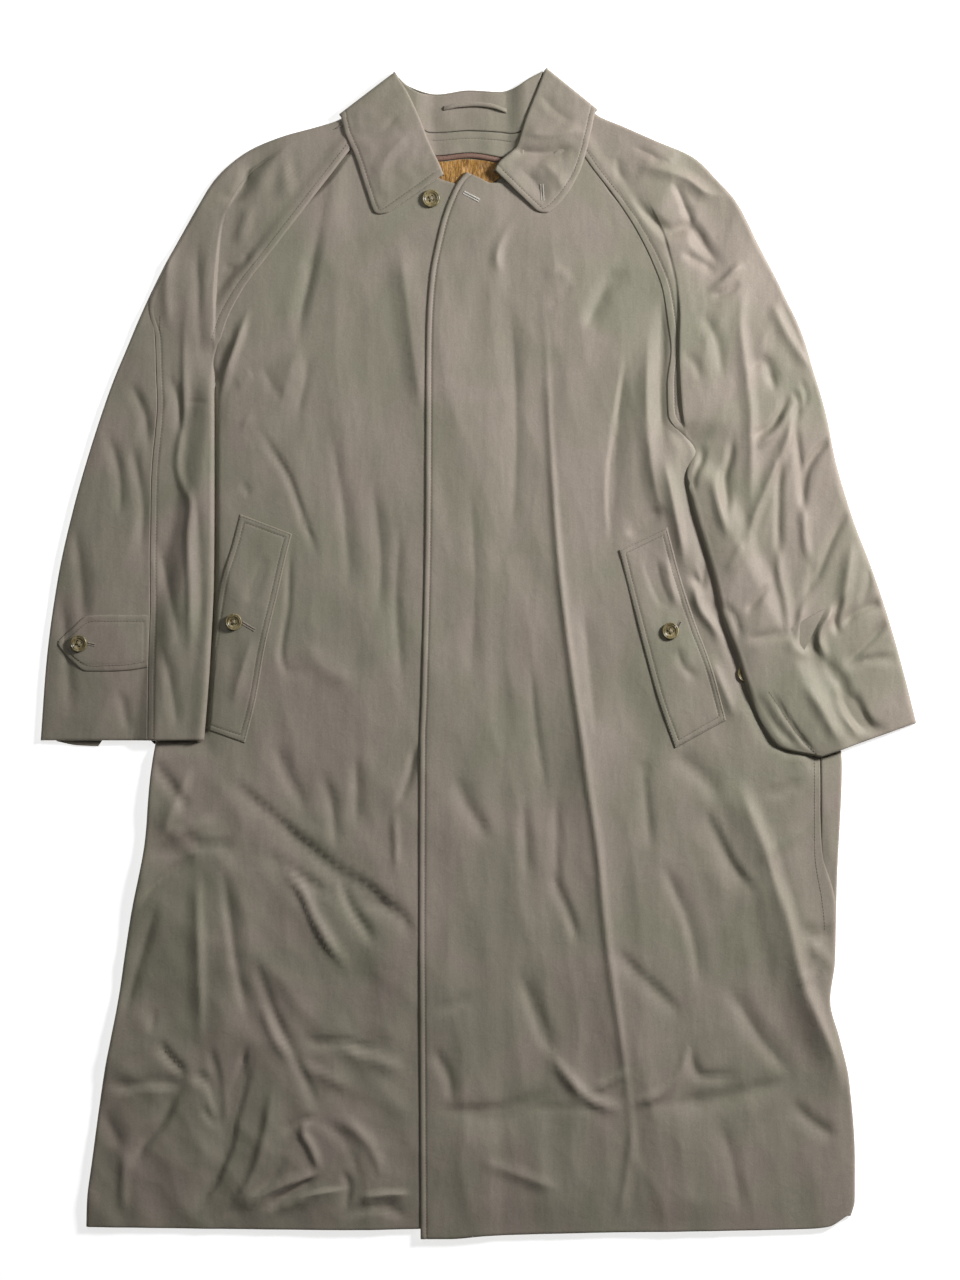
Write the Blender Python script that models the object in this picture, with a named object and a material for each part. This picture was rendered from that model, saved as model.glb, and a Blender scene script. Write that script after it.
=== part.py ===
"""A single-breasted balmacaan coat, lying closed on its back on a flat surface.

The coat is built the way it is cut: two fronts with a fly, a back, two-piece raglan
sleeves, a collar with its stand, pocket welts, a cuff tab on each sleeve and buttons.
Each piece is a wall of cloth. The pieces lie on each other as they do on a table, with
the back undermost.

X runs across the coat, Y from the hem up to the collar and Z up from the table. The
origin is under the middle of the coat's outline. All sizes below are in millimetres.
"""
from collections import namedtuple
from math import cos, hypot, pi, radians, sin, sqrt

import bmesh
import bpy
from mathutils import Vector
from mathutils.bvhtree import BVHTree

MM = 0.001

# Walls and gaps
WALL = 2.4              # body and sleeves: shell, interlining and lining together
COLLAR_WALL = 1.8
WELT_WALL = 1.8
FACING_WALL = 1.4
LINING_WALL = 1.5
LOOP_WALL = 1.2
GAP = 0.3               # between pieces at a seam, and between a piece and what it lies on
SLIM = 0.2              # thickness left where a wrapped strip runs out
DOUBLE = 2 * WALL + GAP     # two walls lying on each other
LEAST_WRAP = WALL + 1.0     # narrowest strip that can wrap round an edge

# Grid of the walls: cells between the stations of each piece's rows
RIGHT_FRONT_CELLS = (12, 3)
RIGHT_NECK_CELLS = (8, 4, 3)
LEFT_FRONT_CELLS = (3, 14)
BACK_CELLS = (8,)
SLEEVE_UNDER_CELLS = (9,)
SLEEVE_STRIP_CELLS = 4
SLEEVE_TOP_CELLS = (7, 1, 2)
PATCH_CELLS = 3

# How far round itself a piece feels what it lies on
DRAPE_REACH = 22.0
PATCH_REACH = 11.0
BUTTON_REACH = 10.0

# How the creases fade: over this distance inside an edge, and the cloth's loft between them
EDGE_FADE = 30.0
LOFT = 1.0

# Collar
FALL_RISE = COLLAR_WALL + GAP   # how far the neck is lifted by the fall folded under it
LEAF_TOP = 12.0                 # height of the front leaves' upper face
LEAF_EDGE = 10.6                # the same along the free edge
RISE_MIDDLE = -10.0             # middle of the neck
RISE_REACH = 180.0              # where the lift round the neck ends, out from the middle
RISE_FOOT = 438.0               # and down from the collar
RISE_SLOPE = 38.0
UPPER_RISE = 42.0               # how much sooner the upper walls begin to rise
TURN_AIM = (0.3, 420.0)         # where the turn at each peak points: share of x, and y
TURN_WALL = 2.9                 # thickness of the turn, measured through its corner

# Buttons: sizes, and the half section of one as shares of its width and height
BUTTON_WIDTH = 18.0
SMALL_BUTTON_WIDTH = 17.0
BUTTON_HEIGHT = 3.2
BUTTON_HOLE = 2.0
BUTTON_HOLE_SPACING = 3.6
BUTTON_SECTION = ((0.0, 0.0), (0.42, 0.0), (0.5, 0.35), (0.49, 0.8), (0.44, 1.0),
                  (0.38, 0.95), (0.33, 0.62), (0.0, 0.62))
BUTTON_SIDES = 16
HOLE_TURNS = (45, 135, 225, 315)

# Finishes: colour and roughness. None of them is metallic.
Finish = namedtuple("Finish", "name colour roughness")
GABARDINE = Finish("cotton gabardine", (0.305, 0.266, 0.216), 0.6)
HORN = Finish("horn", (0.262, 0.198, 0.098), 0.3)
PILE = Finish("gold pile lining", (0.296, 0.178, 0.063), 0.5)
SATIN = Finish("satin piping", (0.202, 0.117, 0.093), 0.45)

# Edges of the body, from the hem up: (y, x). Above each armpit the edge is the raglan seam.
RIGHT_SIDE = ((-573, -393), (-546, -392), (-506, -387), (-426, -376), (-346, -361),
              (-266, -349), (-186, -334), (-126, -329), (-90, -324), (-6, -311),
              (94, -291), (204, -273), (303, -260), (322, -257.5), (360, -238.5),
              (387, -218.5), (504, -128.5), (534, -98))
LEFT_SIDE = ((-562, 373), (-546, 377), (-506, 377), (-426, 371), (-386, 362), (-346, 352),
             (-306, 357), (-226, 359), (-106, 364), (-6, 314), (94, 265), (217, 204),
             (236, 189), (265, 187), (301, 192), (355, 186), (382, 178), (411, 164),
             (443, 147), (469, 126), (508, 111), (534, 90))
# Edge of the fly, and the line inside it where the front beneath ends
FLY = ((-585, -58), (-246, -59.5), (-86, -59), (-46, -57.5), (134, -53.5), (314, -52.5),
       (344, -51.5), (380, -48.5), (416, -41.5), (442, -34.5), (466, -23.5), (482, -12.5))
PLACKET = ((-585, 2), (300, 6), (440, 10), (482, 13))
# How far the back wraps round the left side edge, from the armpit down: (y, width)
SIDE_WRAP = ((-562, 4), (-346, 4), (-285, 5), (-252, 8), (-196, 18), (-106, 22), (-6, 18),
             (94, 12), (217, 5))

ARMPIT_LEFT = 217       # where the wrap ends, at the left armpit
RIGHT_SIDE_ARMPIT = 303
NECK_CALM = 430         # the fronts lie smooth above this

# Heights of the fronts' rows where they cross the right side, the fly and the left side
FrontRow = namedtuple("FrontRow", "right fly left")
FRONT_ROWS = (
    FrontRow(-573, -574, -562), FrontRow(-540, -540, -540), FrontRow(-506, -506, -506),
    FrontRow(-470, -470, -470), FrontRow(-434, -434, -434), FrontRow(-400, -400, -400),
    FrontRow(-366, -366, -366), FrontRow(-332, -332, -332), FrontRow(-298, -298, -298),
    FrontRow(-264, -264, -264), FrontRow(-230, -230, -230), FrontRow(-196, -196, -196),
    FrontRow(-160, -160, -160), FrontRow(-124, -124, -124), FrontRow(-90, -90, -90),
    FrontRow(-56, -56, -56), FrontRow(-20, -20, -20), FrontRow(16, 16, 16),
    FrontRow(52, 52, 52), FrontRow(88, 88, 88), FrontRow(124, 124, 124),
    FrontRow(160, 160, 155), FrontRow(196, 195, 186), FrontRow(232, 228, 217),
    FrontRow(268, 261, 240), FrontRow(303, 294, 270), FrontRow(332, 324, 304),
    FrontRow(364, 354, 334), FrontRow(398, 384, 364), FrontRow(434, 412, 393),
    FrontRow(470, 438, 424), FrontRow(504, 458, 455))
RIGHT_FRONT_TOP = ((-104, 528), (-36, 473), (-17, 470), (12, 464))
LEFT_FRONT_TOP = ((-12.5, 482.5), (13, 471.5), (98, 526))
LEFT_HEM = ((-58, -585), (8, -582), (369, -562))

# Rows of the sleeves, from the cuff up. outer is the fold at the outside of the arm, fold
# the inner edge or the crease over the armpit, seam the free inner edge or raglan seam.
SleeveRow = namedtuple("SleeveRow", "outer fold seam")
RIGHT_SLEEVE = (
    SleeveRow((-438.5, -86), (-280, -86), (-274, -85.5)),
    SleeveRow((-434.5, -45.5), (-277, -46), (-271, -46)),
    SleeveRow((-432.5, -5.5), (-274, -6), (-268, -6)),
    SleeveRow((-428.5, 34.5), (-272, 34), (-266, 34)),
    SleeveRow((-421.5, 74.5), (-270.5, 74), (-264.5, 74)),
    SleeveRow((-413.5, 114.5), (-270, 113), (-264, 113)),
    SleeveRow((-403.5, 154.5), (-270, 151), (-264, 150)),
    SleeveRow((-391.5, 194.5), (-270, 188), (-264, 187)),
    SleeveRow((-379.5, 234.5), (-270, 224), (-264, 222)),
    SleeveRow((-365.5, 274.5), (-270, 258), (-264, 255)),
    SleeveRow((-352, 307), (-269, 287), (-263.5, 284)),
    SleeveRow((-342, 331), (-266, 306), (-260.6, 303)),
    SleeveRow((-329, 360), (-265.5, 335), (-252.6, 332)),
    SleeveRow((-314, 390), (-265, 366), (-236.2, 364)),
    SleeveRow((-298, 419), (-263, 395), (-210.8, 398)),
    SleeveRow((-281, 449), (-259, 427), (-183, 434)),
    SleeveRow((-263, 477), (-246, 460), (-155.2, 470)),
    SleeveRow((-229, 505), (-222, 488), (-132, 500)),
    SleeveRow((-192, 520), (-184, 508), (-122, 512)),
    SleeveRow((-162, 528), (-156, 520), (-112, 521)),
    SleeveRow((-140, 535), (-136, 529), (-101, 531)))
RIGHT_ARMPIT_ROW = 11
LEFT_SLEEVE = (
    SleeveRow((438.5, -68.5), (347, -101), (341, -103)),
    SleeveRow((426.5, -20.5), (306, -90), (300, -93)),
    SleeveRow((416, 18), (290, -66), (283, -70)),
    SleeveRow((404.5, 55.5), (276, -36), (270, -40)),
    SleeveRow((391.5, 92.5), (264, 0), (258, -2)),
    SleeveRow((377.5, 128.5), (250, 38), (244, 37)),
    SleeveRow((366, 164), (242, 74), (236, 72)),
    SleeveRow((357.5, 194.5), (231, 112), (225, 110)),
    SleeveRow((349.5, 234.5), (220, 150), (214, 148)),
    SleeveRow((342, 263), (214, 180), (208, 179)),
    SleeveRow((334.5, 287), (219, 206), (212.5, 203)),
    SleeveRow((326.5, 314.5), (209, 222), (204.6, 217)),
    SleeveRow((318, 336), (204, 246), (189.4, 240)),
    SleeveRow((308, 356), (202, 276), (188.6, 270)),
    SleeveRow((299, 375), (201, 308), (192.5, 304)),
    SleeveRow((289, 394), (202, 338), (189, 334)),
    SleeveRow((279, 413), (200, 368), (184, 364)),
    SleeveRow((269, 434), (194, 396), (173.4, 393)),
    SleeveRow((257, 455), (186, 424), (157.6, 424)),
    SleeveRow((240, 474), (172, 452), (137.4, 455)),
    SleeveRow((215, 498), (158, 482), (121, 491)),
    SleeveRow((178, 514), (146, 500), (113, 510)),
    SleeveRow((146, 528), (132, 516), (106, 519)),
    SleeveRow((122, 538), (114, 531), (99, 530)))
LEFT_ARMPIT_ROW = 11
# Width of the back piece that shows beyond the outer fold: (y of the outer fold, width)
RIGHT_SLEEVE_WRAP = ((-86, 108), (34, 99), (114, 85), (194, 66), (254, 52), (307, 30),
                     (360, 8), (390, 4), (535, 4))
LEFT_SLEEVE_WRAP = ((-69, 4), (540, 4))
FOLD_LIFT = 5.0         # how far the crease over each armpit stands above the shoulder
FOLD_FOOT = 5.0         # width of that crease's step
FOLD_HEAD = 470         # where it begins, below the shoulder
FOLD_RUN = 150          # how far down it takes to reach its full height

# Main creases of the body and sleeves: height, half width and route
Fold = namedtuple("Fold", "height width route")
FOLDS = (
    Fold(5, 26, ((-261, -114), (-207, -158), (-137, -216), (-72, -276))),
    Fold(3, 24, ((-213, -197), (-169, -244), (-130, -308))),
    Fold(3, 22, ((-290, -114), (-318, -181))),
    Fold(4, 22, ((-282, -209), (-279, -340), (-277, -372))),
    Fold(4, 24, ((-261, -203), (-239, -308), (-220, -365), (-175, -429), (-159, -461))),
    Fold(4, 22, ((-368, -434), (-296, -436), (-274, -429), (-256, -477))),
    Fold(3, 22, ((-322, -385), (-296, -429))),
    Fold(3, 22, ((-296, -436), (-337, -499))),
    Fold(4, 24, ((-226, -439), (-245, -493), (-271, -560))),
    Fold(3, 22, ((-175, -375), (-149, -385), (-100, -395))),
    Fold(3, 22, ((-242, -562), (-188, -528), (-153, -525))),
    Fold(2, 24, ((-82, 420), (-76, 386), (-70, 291))),
    Fold(4, 26, ((62, 377), (67, 329), (73, 207), (81, 94), (109, -118), (121, -201),
                 (129, -284), (141, -367), (154, -483), (169, -556))),
    Fold(3, 22, ((148, 300), (141, 244), (133, 183), (132, 120))),
    Fold(5, 24, ((267, -135), (287, -198), (303, -244), (320, -317), (333, -350))),
    Fold(4, 24, ((254, -238), (303, -367))),
    Fold(3, 24, ((45, -317), (71, -383), (81, -417), (108, -443), (151, -453),
                 (194, -433), (217, -410))),
    Fold(3, 24, ((131, -284), (174, -327), (220, -367))),
    Fold(3, 24, ((227, -158), (250, -208), (280, -221))),
    Fold(3, 20, ((-291, 309), (-290, 116), (-288, 54))),
    Fold(3, 20, ((-316, 93), (-299, 36))),
    Fold(3, 20, ((-399, 113), (-393, 60))),
    Fold(4, 22, ((263, 370), (262, 313), (267, 255), (269, 204))),
    Fold(4, 20, ((252, 214), (246, 153), (255, 92))),
    Fold(4, 22, ((309, 204), (288, 153), (276, 92), (268, 51))),
    Fold(4, 22, ((303, 183), (301, 112), (308, 30))),
    Fold(4, 22, ((345, 210), (331, 188), (325, 157), (327, 116), (331, 96))),
    Fold(4, 20, ((364, 139), (342, 83), (329, 47))),
    Fold(4, 22, ((371, 112), (368, 51), (362, 26), (395, 48))),
    Fold(3, 20, ((364, -15), (395, 18))),
    Fold(4, 24, ((358, -23), (408, -70))),
    Fold(3, 20, ((280, 12), (309, 21))),
    Fold(3, 22, ((231, 362), (265, 397))),
    Fold(3, 24, ((150, 505), (200, 470), (240, 440))))

# Collar fall, from its right tip round the back of the neck to its left tip. Each section
# runs from the roll line to the free edge. turn is 0 on the front leaves, 1 where the fall
# lies folded beneath the neck.
FallRow = namedtuple("FallRow", "roll edge turn")
FALL_ROWS = (
    FallRow((-34.5, 479.5), (-97.5, 436.5), 0.0),
    FallRow((-38, 488), (-104, 441), 0.0),
    FallRow((-47.5, 508), (-112, 462), 0.0),
    FallRow((-58, 534), (-124, 498), 0.0),
    FallRow((-70, 560), (-134, 522), 0.0),
    FallRow((-82, 580), (-137.5, 538), 0.0),
    FallRow((-83, 581), (-138.5, 538.7), 0.5),
    FallRow((-82, 580), (-137.5, 538), 1.0),
    FallRow((-69.5, 569), (-112, 506), 1.0),
    FallRow((-41.5, 561), (-60, 490), 1.0),
    FallRow((-9.5, 565), (-9.5, 486), 1.0),
    FallRow((21.5, 563.5), (44, 488), 1.0),
    FallRow((40, 569), (92, 502), 1.0),
    FallRow((66, 584), (117, 543), 1.0),
    FallRow((67, 585.5), (118.5, 544), 0.5),
    FallRow((66, 584), (117, 543), 0.0),
    FallRow((56, 559), (111, 515), 0.0),
    FallRow((46.5, 535), (102, 484), 0.0),
    FallRow((37.5, 508.5), (87, 458), 0.0),
    FallRow((19, 490), (70, 441), 0.0),
    FallRow((15.5, 483.5), (63.5, 437.5), 0.0))
FALL_ACROSS = 4

# Inside of the neck: each row runs from the coat's right to its left
STAND_TOP = ((-72, 566), (-55.5, 560.5), (-41.5, 559), (-9.5, 563), (21.5, 561.5),
             (37.5, 566), (57, 576))
NECK_SEAM = ((-82, 534), (-62, 524), (-42, 523), (-9.5, 525), (21.5, 524), (44, 523),
             (66, 535))
FACING_FOOT = ((-76, 512), (-58, 500), (-42, 499), (-9.5, 502.5), (21.5, 497), (38, 496),
               (62, 506))
PIPING_WIDTH = 5.0
LINING_HEAD = (-47, -36, -16, 6, 16, 30)
LINING_FOOT = ((-45, 485), (-35, 476), (-17, 473), (8, 470.5), (16, 477), (30, 487))
STAND_LEVELS = ((0.0, FALL_RISE), (0.5, FALL_RISE + 0.4), (1.0, FALL_RISE + 1.5))
LOOP_ROUTE = ((-34.5, 547), (-4, 549), (27.5, 544))
LOOP_WIDTH = 5.5

# Pocket welts, from the upper end down: each row runs from the inner to the outer edge
RIGHT_WELT = (((-186.5, 120.5), (-238.5, 140.5)), ((-193, 95), (-246, 110)),
              ((-200.5, 61.5), (-258, 70)), ((-213.5, 5.5), (-267, 12)),
              ((-222.5, -44.5), (-272, -33)), ((-233.5, -88.5), (-275, -74)))
LEFT_WELT = (((188.5, 130.5), (140.5, 103.5)), ((200, 83.5), (152, 58)),
             ((216, 33.5), (163, 15)), ((232, -9.5), (180, -47)),
             ((247.5, -65.5), (196.5, -93.5)))

# Cuff tabs, from the sleeve seam to the point: each row runs from the upper to lower edge
RIGHT_TAB = (((-331, 39.5), (-331, -13)), ((-350, 39.5), (-350, -16)),
             ((-371, 39), (-371, -17)), ((-392, 37), (-391.5, -15.5)),
             ((-407, 25), (-407, -2)), ((-419.5, 13), (-419.5, 10)))
# The left tab is turned under its sleeve. Only its button shows, at the sleeve's edge.
LEFT_TAB_SEAM = (347.0, 21.0)
LEFT_TAB_POINT = (274.0, -21.0)
LEFT_TAB_HALF_WIDTHS = (26.0, 26.0, 26.0, 24.0, 13.0, 3.0)
LEFT_CUFF_BUTTON = (267.0, -19.0)
# The other buttons: name, place, width and the piece that carries it
BUTTONS = (("button_front_top", (-47.5, 455.5), BUTTON_WIDTH, "front_right"),
           ("button_pocket_right", (-244.5, 32.5), SMALL_BUTTON_WIDTH, "pocket_welt_right"),
           ("button_pocket_left", (191.5, 23.5), SMALL_BUTTON_WIDTH, "pocket_welt_left"),
           ("button_cuff_right", (-399.5, 11.0), SMALL_BUTTON_WIDTH, "cuff_tab_right"))


def between(table, at):
    """Value at a place along a table of (place, value) pairs, straight between them."""
    if at <= table[0][0]:
        return table[0][1]
    for (low, low_value), (high, high_value) in zip(table, table[1:]):
        if at <= high:
            return low_value + (high_value - low_value) * (at - low) / (high - low)
    return table[-1][1]


def mix(first, second, share):
    """Point part of the way from one point to another."""
    return tuple(a + (b - a) * share for a, b in zip(first, second))


def ease(share):
    """Rise smoothly from 0 to 1."""
    share = min(max(share, 0.0), 1.0)
    return share * share * (3 - 2 * share)


def along(points, count):
    """Points spread evenly by number over a polyline, count to each stretch."""
    spread = [mix(first, second, step / count)
              for first, second in zip(points, points[1:]) for step in range(count)]
    return spread + [points[-1]]


def folds(x, y):
    """Height of the main creases at a place."""
    height = 0.0
    for fold in FOLDS:
        nearest = fold.width
        taper = 0.0
        last = len(fold.route) - 1
        for number, (start, end) in enumerate(zip(fold.route, fold.route[1:])):
            run = (end[0] - start[0], end[1] - start[1])
            length = hypot(*run)
            share = ((x - start[0]) * run[0] + (y - start[1]) * run[1]) / length ** 2
            share = min(max(share, 0.0), 1.0)
            away = hypot(x - start[0] - run[0] * share, y - start[1] - run[1] * share)
            if away < nearest:
                nearest = away
                place = (number + share) / last
                taper = ease(6 * place + 0.3) * ease(6 * (1 - place) + 0.3)
        height = max(height, fold.height * taper * ease(1 - nearest / fold.width))
    return height


def neck_rise(x, y, spread_out=0.0):
    """How far the fall beneath lifts the cloth round the neck. Upper walls rise sooner."""
    across = ease((RISE_REACH + spread_out - abs(x - RISE_MIDDLE)) / RISE_SLOPE)
    return FALL_RISE * ease((y - RISE_FOOT + spread_out) / RISE_SLOPE) * across


def sheet(name, rows, finish=GABARDINE):
    """Closed wall from a grid of (outer point, inner point) pairs, in millimetres."""
    mesh = bmesh.new()
    bmesh.ops.create_grid(mesh, x_segments=len(rows[0]) - 1, y_segments=len(rows) - 1,
                          size=0.5)
    grid = sorted(mesh.verts, key=lambda vert: (round(vert.co.y, 4), vert.co.x))
    pairs = [pair for row in rows for pair in row]
    inner = {}
    for vert, (outer_point, inner_point) in zip(grid, pairs):
        inner[vert.index] = inner_point
        vert.co = Vector(outer_point) * MM
    mesh.verts.index_update()
    count = len(grid)
    faces = list(mesh.faces)
    made = bmesh.ops.extrude_face_region(mesh, geom=faces, use_keep_orig=True)
    new_verts = [item for item in made["geom"] if isinstance(item, bmesh.types.BMVert)]
    nearest = {}
    for vert in grid:
        nearest.setdefault(tuple(round(value, 7) for value in vert.co), []).append(vert.index)
    for vert in new_verts:
        index = nearest[tuple(round(value, 7) for value in vert.co)].pop(0)
        vert.co = Vector(inner[index]) * MM
    assert len(new_verts) == count
    bmesh.ops.recalc_face_normals(mesh, faces=mesh.faces)
    return add_object(name, mesh, finish)


def add_object(name, mesh, finish):
    """Object in the coat's collection from a finished bmesh."""
    data = bpy.data.meshes.new(name)
    mesh.to_mesh(data)
    mesh.free()
    data.materials.append(make_material(name, finish))
    result = bpy.data.objects.new(name, data)
    COAT.objects.link(result)
    return result


class Below:
    """Pieces that a piece lies on, for asking how high they reach."""

    def __init__(self, objects):
        verts = []
        faces = []
        for item in objects:
            start = len(verts)
            verts += [vert.co / MM for vert in item.data.vertices]
            faces += [[start + index for index in face.vertices]
                      for face in item.data.polygons]
        self.tree = BVHTree.FromPolygons(verts, faces)

    def top(self, x, y, reach=0.0):
        """Highest point within reach of a place, or 0 where nothing lies."""
        steps = [step / 4 for step in range(-4, 5)] if reach else (0.0,)
        high = 0.0
        for step_x in steps:
            for step_y in steps:
                start = Vector((x + reach * step_x, y + reach * step_y, 100.0))
                hit = self.tree.ray_cast(start, Vector((0, 0, -1)))[0]
                if hit is not None:
                    high = max(high, hit.z)
        return high


class Over:
    """Pieces below together with a button that lies on them."""

    def __init__(self, below, place, rim):
        self.below = below
        self.place = place
        self.rim = rim

    def top(self, x, y, reach=0.0):
        """Highest point within reach of a place."""
        away = hypot(x - self.place[0], y - self.place[1])
        near = away < SMALL_BUTTON_WIDTH / 2 + 1.5 * reach
        return max(self.below.top(x, y, reach), self.rim if near else 0.0)


def make_material(piece, finish):
    """Own material of a piece."""
    result = bpy.data.materials.new(piece + " " + finish.name)
    result.use_nodes = True
    shader = result.node_tree.nodes["Principled BSDF"]
    shader.inputs["Base Color"].default_value = (*finish.colour, 1.0)
    shader.inputs["Roughness"].default_value = finish.roughness
    shader.inputs["Metallic"].default_value = 0.0
    return result


def upright(point, top, wall):
    """Pair of points, the inner one straight below the outer."""
    return ((point[0], point[1], top), (point[0], point[1], top - wall))


def lying(point, bottom, wall):
    """Pair of points for an underside, the inner one straight above the outer."""
    return ((point[0], point[1], bottom), (point[0], point[1], bottom + wall))


def calm(x, y):
    """Share of the creases that is kept: none near the neck, fly, side edges and hem."""
    hem = ease((y - RIGHT_SIDE[0][0]) / EDGE_FADE)
    neck = ease((NECK_CALM - y) / EDGE_FADE)
    right = ease((x - between(RIGHT_SIDE, y)) / EDGE_FADE)
    left = ease((between(LEFT_SIDE, y) - between(SIDE_WRAP, y) - x) / EDGE_FADE)
    outside = ease((between(FLY, y) - 4 - x) / EDGE_FADE)
    inside = ease((x - between(PLACKET, y) - 4) / EDGE_FADE)
    return hem * neck * right * left * max(outside, inside)


def front_height(x, y):
    """Upper face of a front that lies straight on the back."""
    loft = (LOFT + folds(x, y)) * calm(x, y) * off_sleeves(x, y)
    return DOUBLE + neck_rise(x, y, UPPER_RISE) + loft


def off_sleeves(x, y):
    """Share of the creases kept beside the sleeves, which lie flat on the body."""
    share = 1.0
    for rows, sign in ((RIGHT_SLEEVE, 1), (LEFT_SLEEVE, -1)):
        inner = sorted((row.seam[1], row.seam[0]) for row in rows)
        if inner[0][0] - EDGE_FADE < y < RIGHT_SIDE_ARMPIT:
            clear = sign * (x - between(inner, y)) - DRAPE_REACH
            share = min(share, ease(clear / EDGE_FADE))
    return share


def build_fronts():
    """Both fronts. The left one lies over the right one from the fly to the placket."""
    right_rows = []
    left_rows = []
    for row in FRONT_ROWS:
        side = (between(RIGHT_SIDE, row.right), row.right)
        fly = (between(FLY, row.fly), row.fly)
        placket = (between(PLACKET, row.fly), row.fly)
        wrap = between(SIDE_WRAP, row.left) if row.left <= ARMPIT_LEFT else 0.0
        far = (between(LEFT_SIDE, row.left) - wrap - GAP, row.left)
        right_rows.append(spread((side, fly, placket), RIGHT_FRONT_CELLS))
        left_rows.append(spread((fly, placket, far), LEFT_FRONT_CELLS))
    right_rows.append(spread(RIGHT_FRONT_TOP, RIGHT_NECK_CELLS))
    left_rows.append(spread(LEFT_FRONT_TOP, LEFT_FRONT_CELLS))
    left_rows[0] = spread(LEFT_HEM, LEFT_FRONT_CELLS)
    grid = [[upright((x + (GAP if index == 0 else 0), y), front_height(x, y), WALL)
             for index, (x, y) in enumerate(row)] for row in right_rows]
    right = sheet("front_right", grid)
    grid = []
    for row in left_rows:
        points = []
        for index, (x, y) in enumerate(row):
            over = WALL + GAP if index <= LEFT_FRONT_CELLS[0] else 0.0
            points.append(upright((x, y), front_height(x, y) + over, WALL))
        grid.append(points)
    left = sheet("front_left", grid)
    return right, left


def spread(points, counts):
    """Row of points between stations, each stretch cut into its own count of cells."""
    row = []
    for first, second, count in zip(points, points[1:], counts):
        row += [mix(first, second, step / count) for step in range(count)]
    return row + [points[-1]]


def build_back():
    """Back, lying flat, with the strip that wraps round the left side edge."""
    grid = []
    rows = [(row.right, row.left) for row in FRONT_ROWS] + [(522, 522)]
    for right_y, left_y in rows:
        left_x = between(LEFT_SIDE, left_y)
        right = (between(RIGHT_SIDE, right_y) + GAP, right_y)
        wraps = left_y < ARMPIT_LEFT
        left = (left_x - (0 if wraps else GAP), left_y)
        row = [lying((x, y), neck_rise(x, y), WALL) for x, y in spread((right, left), BACK_CELLS)]
        width = max(between(SIDE_WRAP, left_y), LEAST_WRAP)
        low = neck_rise(left_x, left_y)
        if wraps:
            edge = left_x
            row[-1] = ((edge, left_y, 0.0), (edge - WALL, left_y, WALL))
            row.append(((edge, left_y, DOUBLE), (edge - WALL, left_y, DOUBLE - WALL)))
            seam = (edge - width, left_y)
            row.append(upright(seam, DOUBLE, WALL))
        else:
            edge = left[0]
            high = low + WALL
            row[-1] = ((edge, left_y, low), (edge - WALL + 2 * SLIM, left_y, high - 2 * SLIM))
            row.append(((edge, left_y, high), (edge - WALL + SLIM, left_y, high - SLIM)))
            row.append(((edge - width, left_y, high + SLIM / 2),
                        (edge - width, left_y, high - SLIM / 2)))
        grid.append(row)
    return sheet("back_panel", grid)


def build_sleeve_back(side, rows, armpit, wrap_table, below):
    """Back of one sleeve. It lies beneath and wraps round the outer fold."""
    inward = 1 if side == "right" else -1
    back_grid = []
    for number, row in enumerate(rows):
        line = spread((row.seam, row.outer), SLEEVE_UNDER_CELLS)
        if number < armpit:
            heights = [below.top(x, y, DRAPE_REACH) + GAP for x, y in line]
            heights = [0.0 if high <= GAP else high for high in heights]
        else:
            heights = [neck_rise(x, y) for x, y in line]
        points = [lying(point, high, WALL) for point, high in zip(line, heights)]
        x, y = row.outer
        low = heights[-1]
        points[-1] = ((x, y, low), (x + inward * WALL, y, low + WALL))
        points.append(((x, y, low + DOUBLE), (x + inward * WALL, y, low + WALL + GAP)))
        width = max(between(wrap_table, y), LEAST_WRAP)
        share = width / hypot(row.fold[0] - x, row.fold[1] - y)
        for step in range(1, SLEEVE_STRIP_CELLS + 1):
            place = mix(row.outer, row.fold, share * step / SLEEVE_STRIP_CELLS)
            points.append(upright(place, low + DOUBLE, WALL))
        back_grid.append(points)
    return sheet("sleeve_" + side + "_back", back_grid)


def build_sleeve_front(side, rows, armpit, wrap_table, back):
    """Front of one sleeve, lying on the sleeve's back."""
    grid = []
    under = Below([back])
    for number, row in enumerate(rows):
        x, y = row.outer
        span = hypot(row.fold[0] - x, row.fold[1] - y)
        share = (max(between(wrap_table, y), LEAST_WRAP) + GAP) / span
        start = mix(row.outer, row.fold, share)
        reach = hypot(row.seam[0] - row.fold[0], row.seam[1] - row.fold[1])
        foot = mix(row.fold, row.seam, min(FOLD_FOOT / reach, 0.5))
        line = spread((start, row.fold, foot, row.seam), SLEEVE_TOP_CELLS)
        lift = FOLD_LIFT * ease((FOLD_HEAD - row.fold[1]) / FOLD_RUN)
        crest = SLEEVE_TOP_CELLS[0]
        points = []
        for index, (px, py) in enumerate(line):
            if number < armpit:
                top = under.top(px, py, DRAPE_REACH) + GAP + WALL
            else:
                top = neck_rise(px, py, UPPER_RISE) + DOUBLE
                top += lift * ease((index - 2) / (crest - 2)) if index <= crest else 0.0
            top += folds(px, py) * ease(index / 2) * ease((len(line) - 1 - index) / 3)
            points.append(upright((px, py), top, WALL))
        grid.append(points)
    return sheet("sleeve_" + side + "_front", grid)


def build_fall():
    """Collar fall: two front leaves and the part folded beneath the neck."""
    grid = []
    for row in FALL_ROWS:
        points = []
        for step in range(FALL_ACROSS + 1):
            share = step / FALL_ACROSS
            x, y = mix(row.roll, row.edge, share)
            top = LEAF_TOP + (LEAF_EDGE - LEAF_TOP) * share
            if row.turn == 0.0:
                points.append(upright((x, y), top, COLLAR_WALL))
            elif row.turn == 1.0:
                points.append(lying((x, y), 0.0, COLLAR_WALL))
            else:
                toward = Vector((-x * TURN_AIM[0], TURN_AIM[1] - y)).normalized() * TURN_WALL
                middle = top / 2
                points.append(((x, y, middle), (x + toward.x, y + toward.y, middle)))
        grid.append(points)
    return sheet("collar_fall", grid)


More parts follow.
